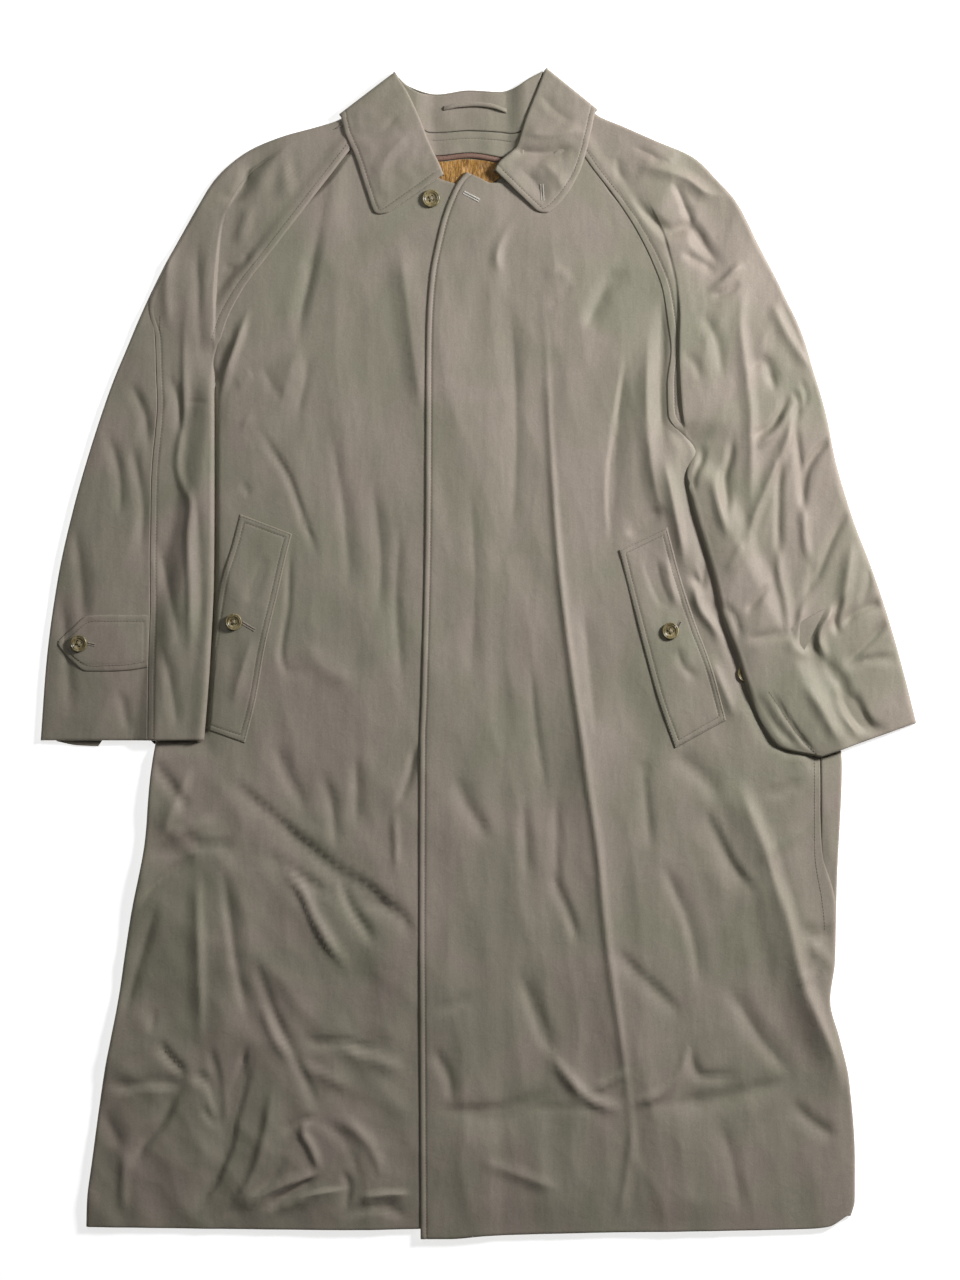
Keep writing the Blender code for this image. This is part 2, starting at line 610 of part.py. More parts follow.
def build_neck():
    """Stand, facing, piping, lining and hanger loop inside the back of the neck."""
    foot = FALL_RISE + WALL + GAP
    stand = []
    for share, low in STAND_LEVELS:
        row = [mix(top, seam, share) for top, seam in zip(STAND_TOP, NECK_SEAM)]
        stand.append([upright((x, y + GAP * share), low + COLLAR_WALL, COLLAR_WALL)
                      for x, y in row])
    sheet("collar_stand", stand)
    facing = []
    for share in (0.0, 0.5, 1.0):
        row = [mix(top, low, share) for top, low in zip(NECK_SEAM, FACING_FOOT)]
        facing.append([upright(point, foot + FACING_WALL, FACING_WALL) for point in row])
    sheet("neck_facing", facing)
    head = [(x, y - GAP) for x, y in FACING_FOOT[1:-1]]
    tail = [(x, y - PIPING_WIDTH) for x, y in head]
    piping = [[upright(point, foot + LOOP_WALL, LOOP_WALL) for point in row]
              for row in (head, tail)]
    sheet("neck_piping", piping, SATIN)
    lining = []
    lining_head = []
    for x in LINING_HEAD:
        facing_edge = between([(place, y) for place, y in FACING_FOOT], x)
        lining_head.append((x, facing_edge - PIPING_WIDTH - 4 * GAP))
    for share in (0.0, 0.5, 1.0):
        row = [mix(top, low, share) for top, low in zip(lining_head, LINING_FOOT)]
        lining.append([upright(point, foot + LINING_WALL, LINING_WALL) for point in row])
    sheet("lining", lining, PILE)
    rest = Below([COAT.objects["collar_stand"]])
    loop = []
    for side in (0.5, -0.5):
        row = along(LOOP_ROUTE, 3)
        tops = [rest.top(x, y, 5.0) + GAP + LOOP_WALL for x, y in row]
        loop.append([upright((x, y + side * LOOP_WIDTH), max(tops), LOOP_WALL)
                     for x, y in row])
    sheet("hanger_loop", loop)


def build_patch(name, rows, below):
    """Piece that lies on others, such as a welt or a tab, following them from below."""
    lines = [spread(row, (PATCH_CELLS,)) for row in rows]
    columns = list(zip(*lines))
    fine = list(zip(*[along(column, 2) for column in columns]))
    grid = [[upright((x, y), below.top(x, y, PATCH_REACH) + GAP + WELT_WALL, WELT_WALL)
             for x, y in line] for line in fine]
    return sheet(name, grid)


def left_tab_rows():
    """Rows of the left cuff tab, square to the line from its seam to its point."""
    run = Vector(LEFT_TAB_POINT) - Vector(LEFT_TAB_SEAM)
    side = Vector((run.y, -run.x)).normalized()
    rows = []
    last = len(LEFT_TAB_HALF_WIDTHS) - 1
    for number, half in enumerate(LEFT_TAB_HALF_WIDTHS):
        centre = Vector(LEFT_TAB_SEAM) + run * number / last
        rows.append((tuple(centre + side * half), tuple(centre - side * half)))
    return rows


def build_button(name, place, base, width):
    """Four-hole button with a rounded rim, resting at a height."""
    mesh = bmesh.new()
    verts = [mesh.verts.new((radius * width * MM, 0, height * BUTTON_HEIGHT * MM))
             for radius, height in BUTTON_SECTION]
    edges = [mesh.edges.new(pair) for pair in zip(verts, verts[1:])]
    bmesh.ops.spin(mesh, geom=verts + edges, axis=(0, 0, 1), cent=(0, 0, 0),
                   angle=2 * pi, steps=BUTTON_SIDES, use_merge=True)
    bmesh.ops.remove_doubles(mesh, verts=mesh.verts, dist=0.00001)
    bmesh.ops.recalc_face_normals(mesh, faces=mesh.faces)
    button = add_object(name, mesh, HORN)
    cutter_mesh = bmesh.new()
    for turn in HOLE_TURNS:
        made = bmesh.ops.create_cone(cutter_mesh, cap_ends=True, segments=6,
                                     radius1=BUTTON_HOLE / 2 * MM, radius2=BUTTON_HOLE / 2 * MM,
                                     depth=3 * BUTTON_HEIGHT * MM)
        shift = Vector((cos(radians(turn)), sin(radians(turn)), 0))
        bmesh.ops.translate(cutter_mesh, verts=made["verts"],
                            vec=shift * BUTTON_HOLE_SPACING / sqrt(2) * MM)
    data = bpy.data.meshes.new(name + "_holes")
    cutter_mesh.to_mesh(data)
    cutter_mesh.free()
    cutter = bpy.data.objects.new(name + "_holes", data)
    cutter.hide_render = True
    cutter.display_type = "WIRE"
    CUTTERS.objects.link(cutter)
    cut = button.modifiers.new("holes", "BOOLEAN")
    cut.object = cutter
    button.location = Vector((place[0], place[1], base)) * MM
    cutter.location = button.location
    return button


def main():
    """Build the coat from the table up."""
    back = build_back()
    right, left = build_fronts()
    body = Below([back, right, left])
    right_welt = build_patch("pocket_welt_right", RIGHT_WELT, body)
    left_welt = build_patch("pocket_welt_left", LEFT_WELT, body)
    base = body.top(*LEFT_CUFF_BUTTON, BUTTON_REACH) + GAP
    build_button("button_cuff_left", LEFT_CUFF_BUTTON, base, SMALL_BUTTON_WIDTH)
    rim = base + BUTTON_HEIGHT
    left_tab = build_patch("cuff_tab_left", left_tab_rows(), Over(body, LEFT_CUFF_BUTTON, rim))
    rest = Over(Below([back, right, left, right_welt, left_welt, left_tab]),
                LEFT_CUFF_BUTTON, rim)
    tops = []
    for side, rows, armpit, wrap in (
            ("right", RIGHT_SLEEVE, RIGHT_ARMPIT_ROW, RIGHT_SLEEVE_WRAP),
            ("left", LEFT_SLEEVE, LEFT_ARMPIT_ROW, LEFT_SLEEVE_WRAP)):
        under = build_sleeve_back(side, rows, armpit, wrap, rest)
        tops += [under, build_sleeve_front(side, rows, armpit, wrap, under)]
    build_fall()
    build_neck()
    build_patch("cuff_tab_right", RIGHT_TAB, Below(tops))
    for name, place, width, carrier in BUTTONS:
        base = Below([COAT.objects[carrier]]).top(*place, BUTTON_REACH) + GAP
        build_button(name, place, base, width)


for old in list(bpy.data.objects):
    bpy.data.objects.remove(old)
COAT = bpy.data.collections.new("balmacaan coat")
CUTTERS = bpy.data.collections.new("cutters")
bpy.context.scene.collection.children.link(COAT)
bpy.context.scene.collection.children.link(CUTTERS)
main()
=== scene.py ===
"""Looks of a balmacaan coat lying on its back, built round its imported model.

Each operator lays one group of pieces: the body, the sleeves, the collar and neck, the welts
and tabs, the buttons, the stitching and the stage. Sizes and places are in millimetres in the
model's own frame: X across the coat, Y from the hem up to the collar, Z up from the table.
"""
from collections import namedtuple
from math import cos, pi, radians, sin

import bmesh
import bpy
import numpy as np
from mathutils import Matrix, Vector
from mathutils.bvhtree import BVHTree


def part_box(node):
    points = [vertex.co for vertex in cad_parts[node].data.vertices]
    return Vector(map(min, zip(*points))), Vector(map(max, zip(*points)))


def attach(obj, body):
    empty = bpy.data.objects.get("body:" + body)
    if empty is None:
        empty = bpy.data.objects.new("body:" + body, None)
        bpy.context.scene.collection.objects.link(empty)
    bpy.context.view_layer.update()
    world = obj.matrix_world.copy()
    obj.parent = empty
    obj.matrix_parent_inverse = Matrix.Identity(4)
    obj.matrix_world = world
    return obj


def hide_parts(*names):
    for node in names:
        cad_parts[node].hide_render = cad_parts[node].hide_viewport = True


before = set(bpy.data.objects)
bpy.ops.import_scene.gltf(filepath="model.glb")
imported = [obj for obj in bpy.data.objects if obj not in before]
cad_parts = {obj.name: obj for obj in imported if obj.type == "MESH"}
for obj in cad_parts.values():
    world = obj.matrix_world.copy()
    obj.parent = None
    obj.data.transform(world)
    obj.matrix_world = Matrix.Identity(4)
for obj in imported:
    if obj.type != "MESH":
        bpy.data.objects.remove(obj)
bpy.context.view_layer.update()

bl_info = {
    "name": "Balmacaan coat",
    "version": (1, 0, 0),
    "blender": (4, 5, 0),
    "location": "View3D > Sidebar > Coat",
    "description": "Lays a balmacaan coat on its back",
    "category": "Object",
}

MM = 0.001

# Layers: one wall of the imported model, two of them, and the gap between pieces
WALL = 2.4
GAP = 0.3
DOUBLE = 2 * WALL + GAP
FALL_RISE = 2.1  # how far the fall folded beneath the neck lifts it
NECK_MIDDLE = -10.0

# Edges of the body, from the hem up: (y, x). Above each armpit the edge is the raglan seam.
RIGHT_SIDE = ((-573, -393), (-546, -392), (-506, -387), (-426, -376), (-346, -361),
              (-266, -349), (-186, -334), (-126, -329), (-90, -324), (-6, -311),
              (94, -291), (204, -273), (303, -260), (322, -257.5), (360, -238.5),
              (387, -218.5), (504, -128.5), (534, -98))
LEFT_SIDE = ((-562, 373), (-546, 377), (-506, 377), (-426, 371), (-386, 362), (-346, 352),
             (-306, 357), (-226, 359), (-106, 364), (-6, 314), (94, 265), (217, 204),
             (236, 189), (265, 187), (301, 192), (355, 186), (382, 178), (411, 164),
             (443, 147), (469, 126), (508, 111), (534, 90))
# Edge of the fly, and the line inside it where the front beneath ends
FLY = ((-585, -58), (-246, -59.5), (-86, -59), (-46, -57.5), (134, -53.5), (314, -52.5),
       (344, -51.5), (380, -48.5), (416, -41.5), (442, -34.5), (466, -23.5), (482, -12.5))
PLACKET = ((-585, 2), (300, 6), (440, 10), (482, 13))
# How far the back wraps round the left side edge, from the hem up: (y, width)
SIDE_WRAP = ((-562, 4), (-346, 4), (-285, 5), (-252, 8), (-196, 18), (-106, 22), (-6, 18),
             (94, 12), (217, 5))
LEFT_ARMPIT = 217
RIGHT_ARMPIT = 303

# Heights where the fronts' rows cross the side edge or raglan seam, and the placket or fly
RIGHT_ROWS = ((-573, -574), (-540, -540), (124, 124), (160, 160), (196, 195), (232, 228),
              (268, 261), (303, 294), (332, 324), (364, 354), (398, 384), (434, 412),
              (470, 438), (504, 453), (528, 464))
LEFT_ROWS = ((-562, -585), (-540, -545), (124, 124), (155, 160), (186, 195), (217, 228),
             (240, 261), (270, 294), (304, 324), (334, 354), (364, 384), (393, 412),
             (424, 438), (455, 457), (492, 470), (526, 482.5))
RIGHT_HEM = ((-393, -573), (-260, -575), (-120, -576), (-58, -575), (2, -574))
LEFT_HEM = ((-58, -585), (-30, -585), (8, -582), (110, -579), (240, -577), (330, -575),
            (350, -573), (369, -562))
RIGHT_NECK = ((-104, 528), (-60, 490), (-36, 475), (-17, 470), (12, 464))
LEFT_NECK = ((-12.5, 482.5), (0.5, 477), (13, 471.5), (40, 475), (98, 526))

SleeveRow = namedtuple("SleeveRow", "outer fold seam")


def sleeve_rows(*rows):
    """Rows of a sleeve, from the cuff up: the outer fold of the arm, the inner edge or the
    crease over the armpit, and the free inner edge or raglan seam."""
    return tuple(SleeveRow(*row) for row in rows)


RIGHT_SLEEVE = sleeve_rows(
    ((-438.5, -86), (-280, -86), (-274, -85.5)),
    ((-432.5, -5.5), (-274, -6), (-268, -6)),
    ((-421.5, 74.5), (-270.5, 74), (-264.5, 74)),
    ((-403.5, 154.5), (-270, 151), (-264, 150)),
    ((-379.5, 234.5), (-270, 224), (-264, 222)),
    ((-365.5, 274.5), (-270, 258), (-264, 255)),
    ((-352, 307), (-269, 287), (-263.5, 284)),
    ((-342, 331), (-266, 306), (-260.6, 303)),
    ((-329, 360), (-265.5, 335), (-252.6, 332)),
    ((-314, 390), (-265, 366), (-236.2, 364)),
    ((-298, 419), (-263, 395), (-210.8, 398)),
    ((-281, 449), (-259, 427), (-183, 434)),
    ((-263, 477), (-246, 460), (-155.2, 470)),
    ((-229, 505), (-222, 488), (-132, 500)),
    ((-192, 520), (-184, 508), (-122, 512)),
    ((-162, 528), (-156, 520), (-112, 521)),
    ((-140, 535), (-136, 529), (-101, 531)),
    ((-127, 545), (-123, 540), (-90, 540)))
LEFT_SLEEVE = sleeve_rows(
    ((438.5, -68.5), (347, -101), (341, -103)),
    ((426.5, -20.5), (306, -90), (300, -93)),
    ((416, 18), (290, -66), (283, -70)),
    ((404.5, 55.5), (276, -36), (270, -40)),
    ((391.5, 92.5), (264, 0), (258, -2)),
    ((377.5, 128.5), (250, 38), (244, 37)),
    ((366, 164), (242, 74), (236, 72)),
    ((357.5, 194.5), (231, 112), (225, 110)),
    ((349.5, 234.5), (220, 150), (214, 148)),
    ((342, 263), (214, 180), (208, 179)),
    ((334.5, 287), (219, 206), (212.5, 203)),
    ((326.5, 314.5), (209, 222), (204.6, 217)),
    ((318, 336), (204, 246), (189.4, 240)),
    ((308, 356), (202, 276), (188.6, 270)),
    ((299, 375), (201, 308), (192.5, 304)),
    ((289, 394), (202, 338), (189, 334)),
    ((279, 413), (200, 368), (184, 364)),
    ((269, 434), (194, 396), (173.4, 393)),
    ((257, 455), (186, 424), (157.6, 424)),
    ((240, 474), (172, 452), (137.4, 455)),
    ((215, 498), (158, 482), (112, 488)),
    ((178, 514), (142, 500), (101, 504)),
    ((146, 528), (126, 516), (92, 516)),
    ((122, 538), (110, 529), (84, 527)),
    ((110, 546), (100, 540), (76, 538)))
# Width of the back piece that shows beyond the outer fold: (y of the outer fold, width)
RIGHT_WRAP = ((-86, 108), (34, 99), (114, 85), (194, 66), (254, 52), (307, 30), (360, 8),
              (390, 4), (535, 4))
LEFT_WRAP = ((-69, 4), (540, 4))

Crease = namedtuple("Crease", "height left right route")


def crease_list(*rows):
    """Creases placed one by one: height, half widths to left and right, and the route's places."""
    return tuple(Crease(*row[:3], row[3:]) for row in rows)


BODY_CREASES = crease_list(
    (-0.7, 4, 7, (-50, -453), (50, -453.5), (152, -453.5)),
    (-0.7, 4, 7, (154, -453), (240, -440), (319, -423)),
    # Right chest
    (2, 16, 16, (-82, 434), (-76, 386), (-64, 292), (-54, 230)),
    (3.2, 6, 8, (-230, 346), (-242, 310), (-254, 278), (-262, 246)),
    (-2.5, 9, 12, (-144, 510), (-154, 454), (-164, 404), (-170, 374), (-178, 336), (-182, 304)),
    (-1.6, 5, 5, (-178, 392), (-166, 394)),
    (2, 6, 7, (-242, 268), (-226, 282)),
    (1.8, 5, 6, (-238, 228), (-226, 238)),
    (-1.6, 4, 7, (-222, 230), (-210, 210), (-190, 178), (-176, 140), (-160, 96)),
    (-0.9, 8, 8, (-216, 290), (-206, 268), (-190, 248)),
    (-1.0, 7, 8, (-170, 300), (-174, 270), (-182, 236)),
    (1.2, 14, 14, (-182, 306), (-190, 276), (-200, 240)),
    (-2, 6, 6, (-238, 172), (-228, 160)),
    (-1.2, 10, 10, (-106, 174), (-98, 94), (-100, 34)),
    (-1.4, 12, 9, (-148, 234), (-134, 134), (-128, 54)),
    (-1.2, 8, 8, (-78, 134), (-82, 54), (-76, -36)),
    (1.4, 16, 16, (-178, 14), (-148, -18), (-118, -26)),
    (-1.3, 5, 5, (-188, 116), (-190, 54), (-190, -16), (-158, -18)),
    # Left chest
    (1.7, 5, 6, (62, 378), (66, 330), (72, 208), (80, 94), (108, -118), (120, -202), (128, -284),
     (140, -368), (150, -444), (154, -484), (168, -566)),
    (2.2, 26, 30, (72, 208), (80, 94), (108, -118), (120, -202), (128, -284), (140, -368),
     (150, -444)),
    (-2.8, 18, 4, (148, 300), (140, 244), (132, 184), (132, 110)),
    (2.8, 14, 12, (170, 324), (168, 254), (172, 194), (184, 134)),
    (2.4, 7, 8, (40, 438), (26, 420), (18, 396), (22, 380)),
    (1.1, 6, 8, (64, 376), (78, 384), (94, 372)),
    (-0.9, 7, 7, (68, 348), (84, 358), (94, 368)),
    (-2.6, 13, 11, (152, 382), (132, 374), (120, 352), (106, 324)),
    (-1.6, 8, 8, (132, 454), (132, 424)),
    (-2.4, 8, 14, (182, 364), (184, 314), (182, 254), (186, 204)),
    (-2.8, 13, 12, (148, 118), (166, 134), (186, 148)),
    (3, 8, 10, (184, 200), (194, 154), (202, 114), (206, 84)),
    (-1.4, 10, 14, (32, 354), (38, 234), (34, 114)),
    (-1.2, 12, 12, (-8, 174), (-4, 54), (-10, -46)),
    (-1.3, 12, 9, (104, 54), (112, -26), (118, -86)),
    (-1.3, 9, 9, (52, 4), (58, -76), (70, -146)),
    # Beside the left pocket
    (-4.2, 8, 8, (212, 84), (222, 70), (228, 94)),
    (3.2, 7, 8, (214, 72), (222, 44), (238, 24), (246, 10)),
    (-4.5, 7, 10, (228, 60), (246, 34), (260, 2), (270, -18), (278, -50)),
    (2.6, 9, 12, (232, -4), (246, -38), (256, -64)),
    (-2.4, 18, 15, (190, -98), (222, -120), (244, -146)),
    (-1.6, 4, 4, (158, -112), (174, -114)),
    (-1.6, 10, 10, (164, -102), (172, -198)),
    # Lower left front
    (4.2, 12, 24, (256, -122), (270, -156), (286, -194), (296, -230), (312, -276)),
    (-2.6, 7, 20, (222, -150), (240, -184), (256, -214), (280, -240)),
    (-1.8, 5, 8, (284, -140), (308, -134), (328, -124)),
    (1.0, 8, 8, (270, -206), (300, -192), (330, -170)),
    (1.7, 5, 5, (344, -200), (360, -186)),
    (5, 11, 28, (298, -222), (312, -276), (324, -328), (340, -366), (356, -404), (364, -446)),
    (2.2, 5, 5, (318, -322), (330, -324), (334, -308)),
    (-3.2, 10, 9, (322, -270), (336, -282), (356, -274)),
    (2.2, 7, 8, (330, -290), (344, -300), (356, -316)),
    (-2.2, 16, 12, (242, -328), (260, -350), (280, -382), (318, -426)),
    (-2.2, 6, 15, (132, -290), (164, -322), (206, -362)),
    (3.2, 8, 10, (70, -396), (92, -426), (114, -446), (148, -456)),
    (2.6, 5, 6, (108, -436), (126, -430), (150, -416)),
    (2.8, 6, 9, (150, -450), (178, -440), (200, -420), (212, -388)),
    (-2.2, 7, 10, (212, -388), (218, -418), (262, -420)),
    (-2.6, 14, 10, (40, -316), (62, -372), (76, -404)),
    (-2, 11, 14, (-26, -118), (-8, -156), (14, -188)),
    (-2.2, 8, 9, (70, -214), (92, -264), (102, -292)),
    (-1.6, 9, 8, (-46, -356), (-24, -350), (-4, -340)),
    (-3, 14, 30, (-42, -456), (22, -458), (78, -436)),
    (-2, 10, 10, (-48, -392), (-30, -424), (-26, -450)),
    (-2, 10, 14, (312, -446), (334, -468), (360, -484)),
    (-1.3, 9, 9, (78, -136), (78, -238)),
    (-1.5, 9, 9, (44, -146), (50, -226)),
    (-1.8, 12, 8, (182, -206), (212, -276), (222, -336)),
    (-2, 20, 16, (182, -454), (242, -446), (320, -424)),
    (1.4, 10, 10, (2, -506), (82, -536)),
    (-1.4, 12, 10, (242, -466), (256, -516), (262, -560)),
    (1.6, 7, 8, (140, -566), (150, -506), (154, -464)),
    # Lower right front
    (-3.6, 5, 22, (-260, -118), (-228, -142), (-200, -166), (-172, -190), (-140, -216),
     (-106, -236), (-68, -278)),
    (-2.6, 5, 9, (-214, -196), (-182, -220), (-160, -232), (-140, -242)),
    (3.2, 8, 5, (-208, -200), (-180, -232), (-162, -268), (-146, -294), (-126, -318)),
    (-3, 10, 5, (-140, -224), (-132, -246), (-116, -272), (-102, -292)),
    (-2, 5, 12, (-128, -238), (-108, -248), (-84, -254), (-62, -282)),
    (2.2, 8, 12, (-286, -112), (-302, -146), (-318, -182)),
    (2.8, 5, 8, (-316, -182), (-294, -176), (-264, -164)),
    (-3.2, 4, 8, (-294, -186), (-274, -190), (-242, -192)),
    (-2.2, 4, 6, (-330, -198), (-302, -198), (-282, -200)),
    (-3.6, 5, 8, (-282, -206), (-298, -212), (-324, -232), (-340, -248)),
    (2.8, 7, 12, (-282, -212), (-280, -280), (-278, -346), (-278, -390)),
    (-2.0, 12, 6, (-258, -206), (-250, -258), (-242, -314), (-234, -350), (-226, -376)),
    (-2.1, 10, 12, (-320, -244), (-338, -302), (-356, -368)),
    (-2.8, 5, 10, (-180, -378), (-162, -388), (-138, -386), (-120, -392), (-100, -394)),
    (2.6, 10, 14, (-144, -390), (-114, -402), (-74, -416)),
    (-2.2, 12, 10, (-204, -90), (-188, -128), (-170, -156)),
    (-1.8, 12, 10, (-122, -98), (-122, -172)),
    (-2.4, 7, 6, (-62, -88), (-74, -134), (-84, -152)),
    (1.6, 6, 6, (-84, -156), (-82, -216)),
    (-3.2, 14, 4, (-374, -430), (-350, -434), (-336, -430), (-312, -430), (-290, -428)),
    (-3.2, 5, 6, (-322, -386), (-308, -404), (-290, -422)),
    (-3.6, 8, 5, (-290, -422), (-274, -426), (-266, -438), (-260, -458)),
    (-3, 6, 6, (-270, -392), (-264, -414), (-260, -456), (-258, -474)),
    (-3.2, 8, 16, (-290, -430), (-304, -444), (-318, -470), (-336, -492), (-342, -512)),
    (-2.6, 5, 6, (-278, -452), (-262, -472)),
    (-2.6, 5, 6, (-232, -392), (-238, -418), (-244, -444)),
    (-3.0, 6, 20, (-226, -400), (-244, -464), (-252, -500), (-266, -530), (-290, -566)),
    (2.6, 20, 7, (-206, -430), (-214, -480), (-226, -520), (-250, -558)),
    (-1.6, 9, 9, (-190, -500), (-212, -530), (-236, -550), (-262, -568)),
    (3.2, 9, 8, (-246, -556), (-194, -530), (-158, -518)),
    (-3.6, 4, 8, (-212, -554), (-186, -536), (-158, -520)),
    (3, 4, 12, (-210, -556), (-168, -540), (-130, -534)),
    (-2.0, 6, 8, (-136, -514), (-130, -532), (-134, -556)),
    (2.6, 6, 6, (-158, -518), (-168, -492), (-176, -476), (-162, -462)),
    (-1.8, 6, 6, (-196, -480), (-182, -468), (-160, -462)),
    (-1.4, 12, 9, (-180, -462), (-158, -468), (-130, -492), (-118, -528)),
    (2.0, 10, 10, (-146, -462), (-120, -478), (-104, -500), (-96, -526)),
    (-2.6, 8, 9, (-138, -562), (-100, -552), (-68, -564)),
    (2.5, 6, 8, (-120, -544), (-96, -540), (-68, -540)),
    (-2.0, 7, 9, (-226, -300), (-208, -350), (-190, -392), (-174, -424), (-156, -462)),
    (2.2, 9, 8, (-218, -348), (-204, -382), (-182, -410)),
    (2, 8, 10, (-182, -410), (-160, -418), (-126, -436)),
    (-2.2, 12, 12, (-378, -456), (-366, -476), (-358, -496)),
    (2, 9, 8, (-354, -496), (-356, -560)),
    (-2, 6, 6, (-324, -356), (-328, -378)),
    (-2, 8, 8, (-326, -106), (-304, -136), (-288, -160)),
    (-1.6, 10, 9, (-158, -116), (-148, -146), (-142, -196)),
)
SLEEVE_CREASES = crease_list(
    # Right sleeve
    (1.6, 7, 5, (-292, 368), (-294, 310), (-294, 246), (-296, 170), (-290, 160), (-290, 116),
     (-288, 54), (-288, -26)),
    (-1.2, 3, 3, (-294, 252), (-270, 252)),
    (-1.4, 3, 3, (-294, 168), (-288, 162)),
    (-1.8, 9, 10, (-310, 282), (-300, 252), (-298, 214)),
    (-1.7, 8, 10, (-350, 274), (-334, 240), (-330, 204)),
    (-1.7, 9, 9, (-348, 216), (-336, 148), (-338, 94)),
    (-1.6, 14, 9, (-322, 120), (-310, 66), (-296, 4)),
    (-1.5, 12, 9, (-404, 130), (-398, 80), (-394, 20)),
    (-1.6, 9, 9, (-372, 224), (-360, 184), (-358, 134)),
    (1.8, 9, 9, (-308, 414), (-312, 364), (-310, 324)),
    (-1.6, 10, 8, (-282, 414), (-280, 354), (-278, 294)),
    (-2.6, 9, 9, (-260, 464), (-252, 458), (-246, 456), (-234, 472), (-230, 486), (-220, 492),
     (-196, 506)),
    (-2.4, 6, 6, (-234, 402), (-230, 392), (-232, 384)),
    (-2, 4, 4, (-256, 388), (-242, 386)),
    (-2.2, 9, 8, (-190, 494), (-186, 486), (-188, 474)),
    (2.2, 9, 9, (-194, 502), (-192, 476), (-194, 454)),
    (-6.5, 4, 5, (-236, 370), (-242, 354), (-250, 344), (-260, 326), (-262, 318)),
    (-2, 5, 5, (-262, 316), (-260, 286), (-264, 274)),
    (2.2, 8, 9, (-228, 450), (-234, 430), (-240, 410)),
    (-1.4, 9, 9, (-284, 174), (-278, 94), (-278, 14)),
    (-1.5, 10, 10, (-418, 64), (-412, 4), (-408, -66)),
    (-1.5, 8, 8, (-358, -36), (-350, -80)),
    (-1.4, 9, 9, (-318, 14), (-306, -36), (-300, -80)),
    (1.6, 10, 10, (-178, 520), (-208, 490), (-222, 454)),
    # Left sleeve, shoulder
    (-1.8, 9, 9, (138, 500), (141, 482), (150, 470)),
    (-4.2, 9, 11, (152, 462), (160, 446), (170, 436), (192, 424), (210, 428), (228, 406),
     (244, 386)),
    (-3.4, 7, 7, (206, 450), (210, 440), (214, 430)),
    (-2.4, 6, 5, (196, 472), (204, 454), (208, 442)),
    (-2.4, 7, 7, (154, 508), (176, 498), (184, 492)),
    (3, 9, 10, (158, 488), (184, 484), (208, 476), (228, 462), (250, 460)),
    (2.2, 6, 6, (198, 504), (188, 492)),
    (3.4, 5, 5, (228, 362), (242, 370), (254, 382), (266, 392)),
    (-2.8, 7, 6, (202, 402), (222, 392), (238, 382)),
    (-2.4, 4, 5, (232, 360), (242, 360), (262, 372)),
    (2.4, 9, 11, (264, 370), (262, 328), (266, 294), (270, 262), (272, 132)),
    (-2.5, 10, 10, (268, 284), (284, 294), (298, 264)),
    (-2, 4, 4, (290, 282), (298, 264)),
    (-3, 6, 8, (270, 218), (290, 226), (308, 254), (312, 264)),
    (3, 6, 6, (276, 206), (298, 224), (312, 252)),
    (3.2, 6, 9, (312, 262), (310, 220), (290, 172), (272, 124), (270, 92)),
    (-2.5, 6, 5, (302, 206), (300, 154), (300, 94)),
    (-2.5, 5, 6, (316, 234), (322, 186), (326, 132)),
    (-4.2, 6, 4, (354, 218), (338, 202), (326, 180), (324, 156)),
    (2.2, 6, 6, (324, 156), (326, 116), (330, 92)),
    (-2.7, 6, 5, (372, 146), (362, 132), (348, 102), (334, 64)),
    (-1.8, 8, 8, (204, 302), (218, 288), (222, 272)),
    (-2.6, 5, 6, (220, 210), (224, 198), (216, 180), (214, 156)),
    (-2.7, 6, 6, (254, 222), (252, 198), (246, 176), (248, 154), (246, 132)),
    (-2, 4, 4, (312, 266), (320, 254), (318, 234)),
    (-1.8, 4, 4, (322, 276), (328, 258), (324, 244)),
    # Left sleeve, lower arm
    (2, 8, 7, (264, 114), (258, 100), (246, 82)),
    (2.7, 10, 6, (300, 110), (300, 84), (308, 44), (310, 16)),
    (-3.2, 6, 5, (290, 70), (280, 58), (266, 42)),
    (-2.7, 8, 5, (266, 14), (290, 18), (310, 22)),
    (2.4, 8, 8, (308, 20), (318, 4), (334, -2)),
    (-4.6, 12, 9, (344, -2), (360, -28), (368, -52), (396, -82)),
    (3, 8, 8, (356, -18), (362, -50), (382, -88)),
    (4.2, 6, 5, (358, 50), (340, 16), (348, -6)),
    (-3.6, 5, 5, (360, 18), (356, 40), (368, 60)),
    (-3.7, 12, 4, (362, 28), (384, 44), (406, 52)),
    (-3.2, 10, 4, (362, -14), (386, 8), (410, 34)),
    (-2.2, 4, 7, (362, -16), (384, -6), (418, -2)),
    (2.7, 8, 6, (332, 68), (320, 32), (318, 6)),
    (2.7, 8, 9, (374, 114), (364, 48), (362, 32)),
    (-3.6, 8, 14, (372, -36), (396, -74), (412, -74)),
    (-1.8, 3, 3, (290, -36), (318, -78), (338, -102)),
    (-2, 9, 9, (276, -36), (296, -70), (322, -96)),
    (2, 9, 9, (322, -26), (342, -56), (360, -90)),
    (-2.3, 7, 7, (338, 94), (328, 60), (322, 40)),
    (-2, 6, 6, (242, 54), (256, 36), (262, 14)),
    (2, 7, 7, (234, 184), (238, 154), (250, 114)),
    (-1.8, 7, 7, (392, 94), (388, 64), (380, 48)),
    (2.3, 8, 9, (292, 354), (312, 314), (334, 284)),
    (-1.8, 10, 10, (222, 344), (238, 314), (244, 274)),
)

